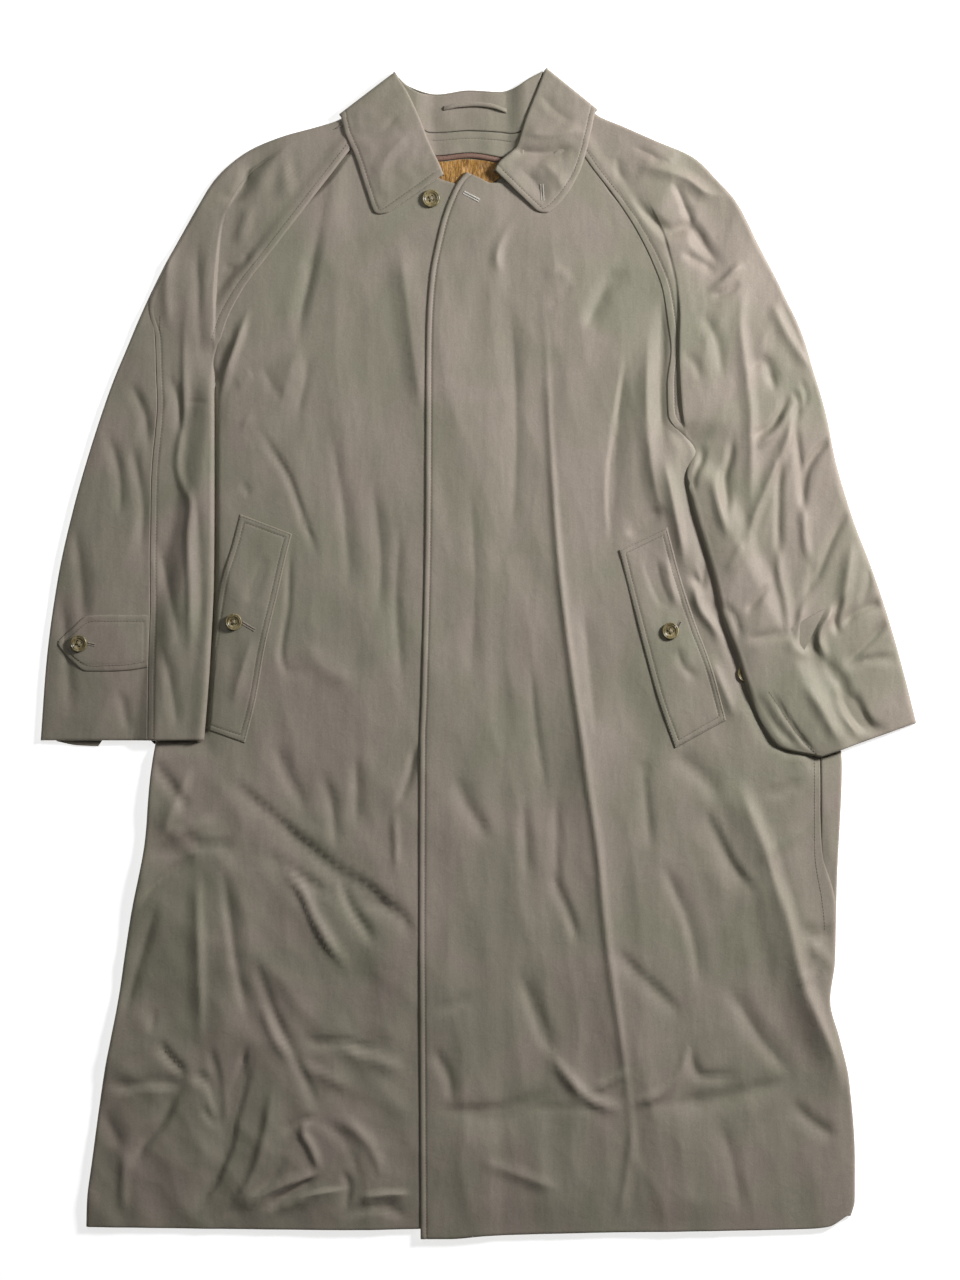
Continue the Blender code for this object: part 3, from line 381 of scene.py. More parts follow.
# Collar fall, from its right tip round the back of the neck to its left tip, as sections from
# the roll line to the free edge. The part behind lies folded beneath the neck.
RIGHT_LEAF = (
    ((-34.5, 479.5), (-97.5, 436.5)), ((-38, 488), (-104, 441)),
    ((-47.5, 508), (-112, 462)), ((-58, 534), (-124, 498)),
    ((-70, 560), (-134, 522)), ((-82, 580), (-137.5, 538)))
LEFT_LEAF = (
    ((66, 584), (117, 543)), ((56, 559), (111, 515)),
    ((46.5, 535), (102, 484)), ((37.5, 508.5), (87, 458)),
    ((19, 490), (70, 441)), ((15.5, 483.5), (63.5, 437.5)))
FALL_BEHIND = (
    ((-82, 580), (-137.5, 538)), ((-69.5, 569), (-112, 506)),
    ((-41.5, 561), (-60, 490)), ((-9.5, 565), (-9.5, 486)),
    ((21.5, 563.5), (44, 488)), ((40, 569), (92, 502)),
    ((66, 584), (117, 543)))
STAND_TOP = ((-80, 577), (-69.5, 567), (-55.5, 561), (-41.5, 560), (-9.5, 564), (21.5, 562.5),
             (37.5, 568), (52, 577), (64, 583))
NECK_SEAM = ((-60, 530), (-54, 524), (-49, 522), (-42, 522), (-9.5, 524), (21.5, 522.5),
             (33, 521), (43, 523), (49, 530))
FACING_FOOT = ((-58, 500), (-52, 499), (-42, 499), (-9.5, 502), (21.5, 497.5), (30, 496),
               (44, 494))
LINING_HEAD = ((-47, 494), (-36, 493), (-16, 495.5), (6, 494), (16, 492), (30, 490.5))
LINING_FOOT = ((-45, 478), (-35, 472), (-17, 470), (8, 468.5), (16, 473), (30, 485))
LOOP_ROUTE = ((-35, 546), (-20, 549), (-4, 550), (12, 548.5), (28, 543.5))

# Pocket welts and cuff tabs, each row from the inner to the outer edge
RIGHT_WELT = (((-186.5, 120.5), (-238.5, 140.5)), ((-193, 95), (-246, 110)),
              ((-200.5, 61.5), (-258, 70)), ((-213.5, 5.5), (-267, 12)),
              ((-222.5, -44.5), (-272, -33)), ((-233.5, -88.5), (-275, -74)))
LEFT_WELT = (((188.5, 127.5), (140.5, 104.5)), ((200, 83.5), (152, 58)),
             ((216, 33.5), (163, 15)), ((232, -9.5), (180, -47)),
             ((247.5, -65.5), (196.5, -93.5)))
RIGHT_TAB = (((-331, 39.5), (-331, -13)), ((-350, 39.5), (-350, -16)),
             ((-371, 39.5), (-371, -17)), ((-392, 38.5), (-392, -17)),
             ((-406, 27), (-406, -8)), ((-416, 18.5), (-416, 3.5)), ((-420.5, 13.5), (-420.5, 9.5)))
LEFT_TAB = (((321, -4), (347, 47)), ((306, -12), (331, 38)), ((292, -20), (316, 29)),
            ((278, -26), (300, 20)), ((275, -21), (286, 3)), ((274, -22), (276, -18)))
# Each welt with the seed of its waves
WELTS = (("pocket_welt_right", RIGHT_WELT, 91), ("pocket_welt_left", LEFT_WELT, 93))
TAB_STITCH = ((-333, 33.5), (-350, 33.5), (-371, 33.4), (-389, 32.6), (-402, 22.5), (-412.5, 11.5),
              (-403, -2.5), (-389, -11), (-371, -11), (-350, -10), (-333, -7))

# Buttons: place, width, turn of the holes in degrees, and the piece each lies on
Button = namedtuple("Button", "name x y width turn on")
BUTTONS = (Button("button_front_top", -47.5, 455.5, 18, 20, "front_right"),
           Button("button_pocket_right", -244.5, 32.5, 17, 10, "pocket_welt_right"),
           Button("button_pocket_left", 191.5, 23.5, 17, 40, "pocket_welt_left"),
           Button("button_cuff_right", -399.5, 11, 17, 65, "cuff_tab_right"),
           Button("button_cuff_left", 267, -19, 17, 30, "front_left"))

# Buttonholes: the end at the button, the far end, the width of the worked edge and its thread
Buttonhole = namedtuple("Buttonhole", "first last width thread")
BUTTONHOLES = (Buttonhole((-14.5, 461.5), (0.5, 453.5), 3.6, "E4DFD6"),
               Buttonhole((199, 27.5), (202, 33), 3.0, "A89F92"),
               Buttonhole((-235.5, 31.5), (-223.5, 24.5), 3.4, "B4AB9E"),
               Buttonhole((-390.5, 11), (-383.5, 9.5), 3.0, "A89F92"),
               Buttonhole((63.1, 469.5), (64, 453.5), 3.6, "CCC5B9"))

# Grids of the cloth, and its edges and creases
FINE = 2.75  # cell of the fronts, across the cloth
FINE_ROWS = 4.1  # and along it, as most creases run that way
SLEEVE_CELL = 3.0
COARSE = 7.5  # cell of what lies underneath
BACK_TOP = 522.0  # where the back ends, under the neck
# Distances from an edge of the grid's lines there: a rolled edge, and one with a topstitch
ROLLED = np.array((0.0, 0.3, 0.8, 1.5, 2.4, 4.0))
STITCHED = np.array((0.0, 0.3, 0.8, 1.5, 2.4, 4.0, 5.0, 5.6, 6.0, 6.4, 7.0, 8.2))
EDGE_RADIUS = 2.4  # of a rolled edge
EDGE_DROP = 1.9  # how far the rolled edge falls
CREASE_REACH = 1.15  # widths of the creases, as a share of their stated ones
CREST = 0.9  # how rounded a crease's crest is
CREASE_POWER = 1.8  # how steeply its sides rise to the crest
SHORT_SHARE = 0.35  # share of its height that even the shortest crease has
FULL_LENGTH = 90.0  # further length at which a crease would rise by its whole height

# Sewing
STITCH_INSET = 6.0  # distance of the topstitching from an edge
STITCH_WIDTH = 0.55
STITCH_LIFT = 0.225  # height of a stitch's middle over the cloth
TWIST_PITCH = 0.7  # distance between the stitches round a buttonhole
TWIST_RADIUS = 0.38
PIPING_WIDTH = 5.0
LOOP_WIDTH = 4.8
HIGH_ABOVE = 200.0  # height from which the cloth's surface is looked for

# Stage, in metres: lamps with their place, what they point at, width and power
LAMPS = (("window", (1.48, 0.88, 0.97), (0.1, 0.05, 0), 0.4, 45.5),
         ("ceiling", (-0.5, 0.75, 1.3), (-0.2, 0.4, 0), 0.9, 3.2))
CAMERA_PLACE = (0.0015, 0.0145)
COAT_LEVEL = 0.006  # height of the cloth that the picture's scale holds for
PICTURE_HEIGHT = 1.28  # what the picture shows at that height
SENSOR_HEIGHT = 32.0  # of the camera, in millimetres


def ease(share):
    """Rise smoothly from 0 to 1."""
    share = np.clip(share, 0.0, 1.0)
    return share * share * (3 - 2 * share)


def curve_value(places, values, at):
    """Values along a smooth curve through given ones, without overshoot."""
    places = np.asarray(places, float)
    values = np.asarray(values, float)
    slopes = np.diff(values) / np.diff(places)
    tangents = np.zeros(len(values))
    tangents[0] = slopes[0]
    tangents[-1] = slopes[-1]
    before = slopes[:-1]
    after = slopes[1:]
    same = before * after > 0
    tangents[1:-1][same] = 2 * before[same] * after[same] / (before[same] + after[same])
    at = np.clip(at, places[0], places[-1])
    index = np.clip(np.searchsorted(places, at) - 1, 0, len(places) - 2)
    span = places[index + 1] - places[index]
    share = (at - places[index]) / span
    low = values[index] + span * share * (1 - share) ** 2 * tangents[index]
    high = -span * share ** 2 * (1 - share) * tangents[index + 1]
    return low + high + (values[index + 1] - values[index]) * ease(share)


def along(table, at):
    """Value of a table of (place, value) pairs along a smooth curve."""
    places, values = zip(*table)
    return curve_value(places, values, at)


def run_along(points):
    """Distance along a line of points, from its first one."""
    steps = np.linalg.norm(np.diff(points, axis=0), axis=1)
    return np.concatenate(((0,), np.cumsum(steps)))


def columns_at(places, table, at):
    """Every column of a table at new places, along smooth curves."""
    return np.stack([curve_value(places, column, at) for column in table.T], -1)


def route_points(route, step=4.0):
    """Points close together along a smooth curve through a route."""
    points = np.asarray(route, float)
    run = run_along(points)
    if len(points) == 2:
        count = max(2, int(run[-1] / step))
        return points[0] + np.linspace(0, 1, count)[:, None] * (points[1] - points[0])
    tangents = np.gradient(points, run, axis=0)
    at = np.linspace(0, run[-1], max(3, int(run[-1] / step)))
    index = np.clip(np.searchsorted(run, at) - 1, 0, len(run) - 2)
    span = (run[index + 1] - run[index])[:, None]
    share = (at - run[index])[:, None] / span
    return ((1 + 2 * share) * (1 - share) ** 2 * points[index]
            + share * (1 - share) ** 2 * span * tangents[index]
            + share ** 2 * (3 - 2 * share) * points[index + 1]
            - share ** 2 * (1 - share) * span * tangents[index + 1])


def crease_height(x, y, creases):
    """Sum of the creases at each place of a grid."""
    scale = bpy.context.scene.coat_sizes.crease_scale
    total = np.zeros(x.shape)
    for crease in creases:
        points = route_points(crease.route)
        reach = CREASE_REACH * max(crease.left, crease.right) + CREST
        top = crease.height * scale * min(1.0, SHORT_SHARE + run_along(points)[-1] / FULL_LENGTH)
        low = points.min(0) - reach
        high = points.max(0) + reach
        near = (x > low[0]) & (x < high[0]) & (y > low[1]) & (y < high[1])
        if not near.any():
            continue
        px = x[near]
        py = y[near]
        best = np.full(px.shape, 1e9)
        side = np.zeros(px.shape)
        place = np.zeros(px.shape)
        last = len(points) - 1
        for number in range(last):
            start = points[number]
            run = points[number + 1] - start
            share = ((px - start[0]) * run[0] + (py - start[1]) * run[1]) / (run @ run)
            share = np.clip(share, 0, 1)
            off_x = px - start[0] - run[0] * share
            off_y = py - start[1] - run[1] * share
            away = np.hypot(off_x, off_y)
            closer = away < best
            best = np.where(closer, away, best)
            side = np.where(closer, run[0] * off_y - run[1] * off_x, side)
            place = np.where(closer, (number + share) / last, place)
        width = CREASE_REACH * np.where(side > 0, crease.left, crease.right)
        share = np.clip((np.hypot(best, CREST) - CREST) / width, 0, 1)
        profile = (1 - share) ** CREASE_POWER
        taper = ease(3.2 * place + 0.1) * ease(3.2 * (1 - place) + 0.1)
        total[near] += top * profile * taper
    return total


def soft_noise(x, y, size, seed):
    """Smooth random hills of about a given size, from -1 to 1."""
    random = np.random.RandomState(seed)
    lattice = random.uniform(-1, 1, (64, 64))
    column = np.floor(x / size).astype(int)
    row = np.floor(y / size).astype(int)
    across = ease(x / size - column)
    up = ease(y / size - row)
    near = column % 64
    far = (column + 1) % 64
    low = lattice[row % 64, near] * (1 - across) + lattice[row % 64, far] * across
    row = row + 1
    high = lattice[row % 64, near] * (1 - across) + lattice[row % 64, far] * across
    return low * (1 - up) + high * up


def facets(x, y, size, seed):
    """Straight sharp ridges round soft hollows, as in crumpled cloth, from 0 to about 1."""
    random = np.random.RandomState(seed)
    middle = random.uniform(0.1, 0.9, (64, 64, 2))
    tilt = random.uniform(-0.5, 0.5, (64, 64, 2))
    column = np.floor(x / size).astype(int)
    row = np.floor(y / size).astype(int)
    lowest = np.full(x.shape, 9.0)
    for step_x in (-1, 0, 1):
        for step_y in (-1, 0, 1):
            cell = ((row + step_y) % 64, (column + step_x) % 64)
            away_x = x / size - column - step_x - middle[cell][..., 0]
            away_y = y / size - row - step_y - middle[cell][..., 1]
            lean = away_x * tilt[cell][..., 0] + away_y * tilt[cell][..., 1]
            lowest = np.minimum(lowest, 1.6 * (away_x ** 2 + away_y ** 2) + lean)
    return lowest


def crumple(x, y, size, seed):
    """Large and small facets together, along routes that wander a little."""
    bend_x = x + 0.25 * size * soft_noise(x, y, size * 1.3, seed + 1)
    bend_y = y + 0.25 * size * soft_noise(x, y, size * 1.3, seed + 2)
    large = facets(bend_x, bend_y, size, seed)
    return 0.72 * large + 0.28 * facets(bend_x, bend_y, size * 0.43, seed + 3)


def across(width, cell, start, end, cells=None):
    """Distances along each row of a grid, closer together at its two edges."""
    width = np.asarray(width, float)
    cells = cells or max(2, int(round(width.max() / cell)))
    share = np.linspace(0, 1, cells + 1)[None, :]
    room = width[:, None] - start[-1] - end[-1]
    middle = start[-1] + room * share
    head = np.tile(start[:-1], (len(width), 1))
    tail = width[:, None] - end[::-1][1:]
    return np.hstack((head, middle, tail))


def rolled(distance, drop=EDGE_DROP, radius=EDGE_RADIUS):
    """How far a rounded edge falls at a distance inside it."""
    share = 1 - np.clip(distance / radius, 0, 1)
    return drop * (1 - np.sqrt(1 - share ** 2))


def groove(distance, at, depth=0.35, width=0.9):
    """Channel pulled in by a row of stitches."""
    return depth * np.exp(-((distance - at) / width) ** 2)


def laid_object(name, mesh, *materials):
    """Object at the origin that holds a finished mesh."""
    data = bpy.data.meshes.new(name)
    mesh.to_mesh(data)
    mesh.free()
    for material in materials:
        data.materials.append(material)
    piece = bpy.data.objects.new(name, data)
    bpy.context.scene.collection.objects.link(piece)
    return piece


def cloth_sheet(name, x, y, z, material, flip=False):
    """Shell of cloth on a grid of places in millimetres, with its outer face as given."""
    rows, columns = x.shape
    mesh = bmesh.new()
    bmesh.ops.create_grid(mesh, x_segments=columns - 1, y_segments=rows - 1, size=0.5)
    piece = laid_object(name, mesh, material)
    data = piece.data
    flat = np.empty(rows * columns * 3)
    data.vertices.foreach_get("co", flat)
    flat = flat.reshape(-1, 3)
    order = np.lexsort((np.round(flat[:, 0], 5), np.round(flat[:, 1], 5)))
    places = np.stack((x, y, z), -1)
    if flip:
        places = places[:, ::-1]
    flat[order] = places.reshape(-1, 3) * MM
    data.vertices.foreach_set("co", flat.ravel())
    data.polygons.foreach_set("use_smooth", [True] * len(data.polygons))
    data.update()
    shell = piece.modifiers.new("thickness", "SOLIDIFY")
    shell.thickness = bpy.context.scene.coat_sizes.cloth_wall
    shell.offset = -1
    return piece


def neck_rise(x, y, sooner=0.0):
    """How far the fall beneath lifts the cloth round the neck. Upper walls rise sooner."""
    sideways = ease((180 + sooner - np.abs(x - NECK_MIDDLE)) / 38)
    return FALL_RISE * ease((y - 438 + sooner) / 38) * sideways


UPPER = 42.0  # how much sooner the upper walls begin to rise
FLY_RISE = 1.4  # how far the fly's edge stands above the front beneath it
SLEEVE_DIP = 3.0  # how far the cloth beside the right sleeve sinks under its fold
LOFT = 1.0  # how far the cloth stands off what it lies on
SLEEVE_CLEAR = 16.0  # distance from a sleeve where the body's creases die out
ROUND_EDGE = 2.6  # half width of the turn at a folded edge
NARROWEST = 3.6  # least width of a strip that is turned up round an edge
PLAIN_DROP = 1.7  # how far a strip sinks where its edge is one plain fold
TUCK = 10.0  # how far a front runs on beneath a sleeve's lapped seam
TUCK_DROP = 2.6  # and how far it falls there
LAP = 0.75  # height of the sleeve's seam edge above the front
HEM_REACH = 60.0  # distance from the hem where the rows are straight
NECK_REACH = 70.0  # and from the neck

# Free inner edge of each sleeve, the right one first, as (y, x) tables
SEAM_LINES = [sorted((row.seam[1], row.seam[0]) for row in rows)
              for rows in (RIGHT_SLEEVE, LEFT_SLEEVE)]


def clear_of_sleeves(x, y):
    """Share of the body's creases that is kept beside and beneath the sleeves."""
    right = ease((x - along(SEAM_LINES[0], y)) / SLEEVE_CLEAR)
    left = ease((along(SEAM_LINES[1], y) - x) / SLEEVE_CLEAR)
    beside_right = ease((SEAM_LINES[0][0][0] - 4 - y) / 14) + ease((y - RIGHT_ARMPIT) / 12)
    beside_left = ease((SEAM_LINES[1][0][0] - 4 - y) / 14) + ease((y - LEFT_ARMPIT) / 12)
    return np.maximum(right, beside_right) * np.maximum(left, beside_left)


def body_relief(x, y):
    """Loft, creases and crumple of the body."""
    lower = ease((200 - y) / 500)
    slanted = ease((-40 - x) / 60) * ease((-60 - y) / 120)
    relief = LOFT + crease_height(x, y, BODY_CREASES)
    relief += (0.9 + 0.9 * lower) * soft_noise(x + 0.4 * y, y * 0.45, 62, 5)
    hanging = (1.9 + 0.9 * lower) * crumple(x + 0.12 * y, y * 0.34, 58, 11)
    rumpled = 3.4 * crumple(0.7 * (x + y), 0.4 * (x - y), 54, 17)
    relief += hanging + (rumpled - hanging) * slanted
    relief += 0.16 * soft_noise(x, y * 0.35, 12, 21)
    return relief * clear_of_sleeves(x, y)


def front_top(x, y):
    """Upper face of a front that lies straight on the back."""
    hem = 0.45 + 0.55 * ease((y + 575) / 30)
    neck = 0.25 + 0.75 * ease((440 - y) / 60)
    relief = np.maximum(body_relief(x, y) * hem * neck, -1.6)
    return DOUBLE + neck_rise(x, y, UPPER) + relief


def spaced_rows(lengths, cell, start, end):
    """Places of a piece's rows along its own table, closer together at its two ends."""
    run = np.concatenate(((0,), np.cumsum(lengths)))
    at = across([run[-1]], cell, start, end)[0]
    return np.interp(at, run, np.arange(len(run))), at, run[-1]


def body_rows(table, cell, end):
    """Heights of a body piece's rows at its two sides, how far up each is, and its length."""
    table = np.array(table, float)
    lengths = 0.5 * np.diff(table, axis=0).sum(1)
    index, at, total = spaced_rows(lengths, cell, ROLLED, end)
    first, last = columns_at(np.arange(len(table)), table, index).T
    return first, last, at[:, None], total


def widths(first, last):
    """Distance between two lines at each row, as a column."""
    return np.linalg.norm(first - last, axis=1)[:, None]


def lay_between(first, last, offset, width):
    """Places at given distances from the first towards the last of two lines."""
    share = offset / width
    x = first[:, :1] + share * (last[:, :1] - first[:, :1])
    y = first[:, 1:] + share * (last[:, 1:] - first[:, 1:])
    return x, y


def grid_between(first, last, cell, start, end):
    """Places between two lines, how far each is from the first, and the width of each row."""
    width = widths(last, first)
    offset = across(width[:, 0], cell, start, end)
    x, y = lay_between(first, last, offset, width)
    return x, y, offset, width


def bent(x, y, line, first, last, distance, reach):
    """Rows near a curved edge follow it, from their straight course further in."""
    places, heights = zip(*line)
    share = (x - first[0]) / (last[0] - first[0])
    straight = first[1] + share * (last[1] - first[1])
    return y + (curve_value(places, heights, x) - straight) * (1 - ease(distance / reach))


def tucked(distance):
    """How far a front falls where it runs on beneath a sleeve's seam."""
    return TUCK_DROP * (1 - ease(distance / (0.9 * TUCK)))


def plain_edge(strip):
    """Share of a piece's outer edge that is one plain fold, with no seam in sight."""
    return 1 - ease((strip - 5) / 16)


def build_right_front(material):
    """Right front, from its side edge and raglan seam to the placket."""
    side_y, placket_y, up, total = body_rows(RIGHT_ROWS, FINE_ROWS, ROLLED)
    seam = ease((side_y - RIGHT_ARMPIT + 34) / 24)
    side_x = along(RIGHT_SIDE, side_y) + GAP - TUCK * seam
    seam = seam[:, None]
    side = np.stack((side_x, side_y), -1)
    placket = np.stack((along(PLACKET, placket_y), placket_y), -1)
    x, y, offset, width = grid_between(side, placket, FINE, ROLLED, (0.0,))
    y = bent(x, y, RIGHT_HEM, side[0], placket[0], up, HEM_REACH)
    y = bent(x, y, RIGHT_NECK, side[-1], placket[-1], total - up, NECK_REACH)
    z = front_top(x, y) - rolled(up) - rolled(total - up)
    z -= rolled(offset, 2.4, 3.4) * (1 - seam) + tucked(offset) * seam
    beside = ease((y - SEAM_LINES[0][0][0]) / 12) * ease((RIGHT_ARMPIT - 16 - y) / 20)
    z -= SLEEVE_DIP * beside * (1 - ease((x - along(SEAM_LINES[0], y)) / 5.5))
    return cloth_sheet("front_right_cloth", x, y, z, material)


def build_left_front(material):
    """Left front, from its fly edge to the side seam and raglan seam."""
    side_y, fly_y, up, total = body_rows(LEFT_ROWS, FINE_ROWS, ROLLED)
    wrap = along(SIDE_WRAP, side_y)
    plain = plain_edge(wrap)
    wrap = (wrap + GAP) * (1 - plain)
    plain = (plain * (side_y < LEFT_ARMPIT - 10))[:, None]
    seam = ease((side_y - LEFT_ARMPIT + 34) / 24)
    side_x = along(LEFT_SIDE, side_y) - wrap + TUCK * seam
    seam = seam[:, None]
    fly = np.stack((along(FLY, fly_y), fly_y), -1)
    side = np.stack((side_x, side_y), -1)
    x, y, offset, width = grid_between(fly, side, FINE, STITCHED, ROLLED)
    y = bent(x, y, LEFT_HEM, fly[0], side[0], up, HEM_REACH)
    y = bent(x, y, LEFT_NECK, fly[-1], side[-1], total - up, NECK_REACH)
    over = FLY_RISE * ease((along(PLACKET, y) + 24 - x) / 22)
    z = front_top(x, y) + over - rolled(up) - rolled(total - up)
    inside = width - offset
    # A ridge on the fly's edge, its rolled edge and the channel of its topstitch
    z += 0.55 * np.exp(-((offset - 2.6) / 1.5) ** 2)
    z -= rolled(offset, 1.2, 1.1) + groove(offset, STITCH_INSET, 0.5)
    z -= rolled(inside, 0.5, 0.9) * (1 - seam) * (1 - plain) + tucked(inside) * seam
    z -= rolled(inside, 3.4, 3.6) * plain
    return cloth_sheet("front_left_cloth", x, y, z, material)


def build_back(material):
    """Back panel: the underside, and the strip that turns up round the left side edge."""
    sides = [(right[0], left[0]) for right, left in zip(RIGHT_ROWS[:-1], LEFT_ROWS[:-2])]
    right_y, left_y, up, total = body_rows(sides + [(BACK_TOP, BACK_TOP)], COARSE, (0.0,))
    wraps = (left_y < LEFT_ARMPIT)[:, None]
    edge_x = along(LEFT_SIDE, left_y) - np.where(wraps[:, 0], 0, GAP)
    right = np.stack((along(RIGHT_SIDE, right_y) + GAP, right_y), -1)
    far = np.stack((edge_x - ROUND_EDGE, left_y), -1)
    x, y, offset, width = grid_between(right, far, COARSE, ROLLED, (0.0,))
    lift = np.clip(1.5 * ease((up - 8) / 50) * body_relief(-x, y) - 1.4, 0, 1.8)
    lift = lift * ease(offset / 40) * ease((width - offset) / 40)
    z = neck_rise(x, y) + lift * ease((430 - y) / 40) + 0.6 * rolled(up) + 0.5 * rolled(offset)
    turn = np.linspace(-90, 90, 9)[None, 1:] * pi / 180
    low = neck_rise(edge_x, left_y)[:, None]
    far_x = far[:, :1]
    far_y = far[:, 1:]
    high = np.where(wraps, front_top(far_x, far_y), low + WALL)
    turn_x = edge_x[:, None] - ROUND_EDGE * (1 - np.cos(turn))
    turn_z = 0.5 * (low + high) + 0.5 * (high - low) * np.sin(turn)
    strip = np.maximum(along(SIDE_WRAP, left_y), NARROWEST)[:, None] - ROUND_EDGE
    inset = np.linspace(0, 1, 9)[None, 1:] * strip
    strip_x = far_x - inset
    strip_y = np.repeat(far_y, inset.shape[1], 1)
    strip_z = np.where(wraps, front_top(strip_x, strip_y), low + WALL)
    plain = PLAIN_DROP * plain_edge(strip + ROUND_EDGE) * wraps
    strip_z = strip_z - rolled(strip - inset, 0.5, 0.9) - rolled(up) - plain
    turn_z -= plain * ease((turn + 0.4) / 1.4)
    x = np.hstack((x, turn_x, strip_x))
    y = np.hstack((y, np.repeat(far_y, turn.shape[1], 1), strip_y))
    z = np.hstack((z, turn_z, strip_z))
    return cloth_sheet("back_cloth", x, y, z, material, flip=True)


Arm = namedtuple("Arm", "side sign rows wrap armpit edge")
ARMS = (Arm("right", -1, RIGHT_SLEEVE, RIGHT_WRAP, RIGHT_ARMPIT, RIGHT_SIDE),
        Arm("left", 1, LEFT_SLEEVE, LEFT_WRAP, LEFT_ARMPIT, LEFT_SIDE))
ON_BODY = DOUBLE + 1.3  # height of a sleeve's underside where it lies on the body
WELT_STEP = 2.3  # further rise over a pocket welt
FOLD_LIFT = 5.0  # how far the crease over an armpit stands above the shoulder
CROWN = 2.6  # extra height of a sleeve's middle


def welt_mask(x, y, rows, margin):
    """1 on a pocket welt, fading to 0 over a margin round it."""
    inner = [row[0] for row in rows]
    outer = [row[1] for row in rows]
    inner_x = along(sorted((place[1], place[0]) for place in inner), y)
    outer_x = along(sorted((place[1], place[0]) for place in outer), y)
    low = np.minimum(inner_x, outer_x)
    high = np.maximum(inner_x, outer_x)
    top = max(inner[0][1], outer[0][1])
    foot = min(inner[-1][1], outer[-1][1])
    inside = ease((x - low + margin) / margin) * ease((high + margin - x) / margin)
    return inside * ease((y - foot + margin) / margin) * ease((top + margin - y) / margin)


def sleeve_floor(arm, x, y):
    """Underside of a sleeve: on the table, or up on the body where it overlaps it."""
    inside = arm.sign * (along(arm.edge, y) - x)
    below = ease((arm.armpit - 8 - y) / 36)
    up = ON_BODY * ease((inside + 24) / 26)
    if arm.side == "right":
        up = up + WELT_STEP * welt_mask(x, y, RIGHT_WELT, 16)
    return up * below + neck_rise(x, y)


def sleeve_relief(x, y):
    """Creases and crumple of the sleeves."""
    relief = crease_height(x, y, SLEEVE_CREASES)
    relief += 0.8 * soft_noise(x * 1.0 + 0.3 * y, y * 0.5, 46, 31)
    relief += np.where(x > 0, 1.8, 1.2) * crumple(x - 0.35 * y, y * 0.4 + 0.1 * x, 40, 41)
    relief += 0.12 * soft_noise(x, y * 0.4, 11, 51)
    return relief


def sleeve_lines(arm, cell):
    """Outer fold, inner crest and seam of a sleeve at each row of a fine grid."""
    table = np.array([row.outer + row.fold + row.seam for row in arm.rows], float)
    middle = 0.5 * (table[:, :2] + table[:, 2:4])
    lengths = np.linalg.norm(np.diff(middle, axis=0), axis=1)
    index, at, total = spaced_rows(lengths, cell, ROLLED, (0.0,))
    fine = columns_at(np.arange(len(table)), table, index)
    return fine[:, :2], fine[:, 2:4], fine[:, 4:], at[:, None]


def sleeve_top(arm, x, y, share, up):
    """Upper face of a sleeve, at a share of the way from its outer fold to its crest."""
    above = ease((y - arm.armpit + 4) / 24)
    floor = sleeve_floor(arm, x, y)
    crown = CROWN * np.sin(np.clip(share, 0, 1) * pi) ** 0.7
    lift = FOLD_LIFT * ease((470 - y) / 150) * ease(share)
    rise = neck_rise(x, y, UPPER) - neck_rise(x, y)
    relief = sleeve_relief(x, y) * (0.5 + 0.5 * ease(up / 24)) * ease(share * 14 + 0.25)
    neck = 0.3 + 0.7 * ease((arm.rows[-1].outer[1] - 20 - y) / 50)
    relief = np.maximum(relief * neck, -3.4)
    return floor + rise + DOUBLE - 0.7 + crown * (1 - above) + lift * above + relief


def build_sleeve_back(arm, material):
    """Underside of a sleeve, turned up round the outer fold to the overarm seam."""
    outer, crest, seam, up = sleeve_lines(arm, SLEEVE_CELL)
    width = widths(outer, seam)
    count = int(width.max() / COARSE)
    offset = np.linspace(0, 1, count)[None, :] * (width - ROUND_EDGE)
    under_x, under_y = lay_between(seam, outer, offset, width)
    ripple = 0.5 * np.clip(sleeve_relief(-under_x, under_y + 30) - 0.3, 0, 3.4)
    flat = ease(offset / 24) * ease((width - offset) / 24) * ease(up / 24)
    low = sleeve_floor(arm, under_x, under_y)
    under_z = low + ripple * flat * ease((1.5 - low) / 1.5) + 0.5 * rolled(up)
    across_top = widths(crest, outer)
    start_x, start_y = lay_between(outer, crest, np.full(width.shape, ROUND_EDGE), across_top)
    high = sleeve_top(arm, start_x, start_y, ROUND_EDGE / across_top, up)
    base = sleeve_floor(arm, start_x, start_y)
    turn = np.linspace(-90, 90, 11)[None, 1:-1] * pi / 180
    turn_x, turn_y = lay_between(outer, crest, ROUND_EDGE * (1 - np.cos(turn)), across_top)
    turn_z = 0.5 * (base + high) + 0.5 * (high - base) * np.sin(turn)
    strip = np.maximum(along(arm.wrap, outer[:, 1]), NARROWEST)
    cells = across(strip - ROUND_EDGE, SLEEVE_CELL, (0.0,), ROLLED[:4]) + ROUND_EDGE
    strip_x, strip_y = lay_between(outer, crest, cells, across_top)
    strip_z = sleeve_top(arm, strip_x, strip_y, cells / across_top, up)
    plain = plain_edge(strip)[:, None]
    strip_z -= rolled(strip[:, None] - cells, 0.4, 0.8) + rolled(up) + PLAIN_DROP * plain
    turn_z -= PLAIN_DROP * plain * ease((turn + 0.4) / 1.4)
    x = np.hstack((under_x, turn_x, strip_x))
    y = np.hstack((under_y, turn_y, strip_y))
    z = np.hstack((under_z, turn_z, strip_z))
    return cloth_sheet("sleeve_" + arm.side + "_back_cloth", x, y, z, material,
                       flip=arm.side == "left")


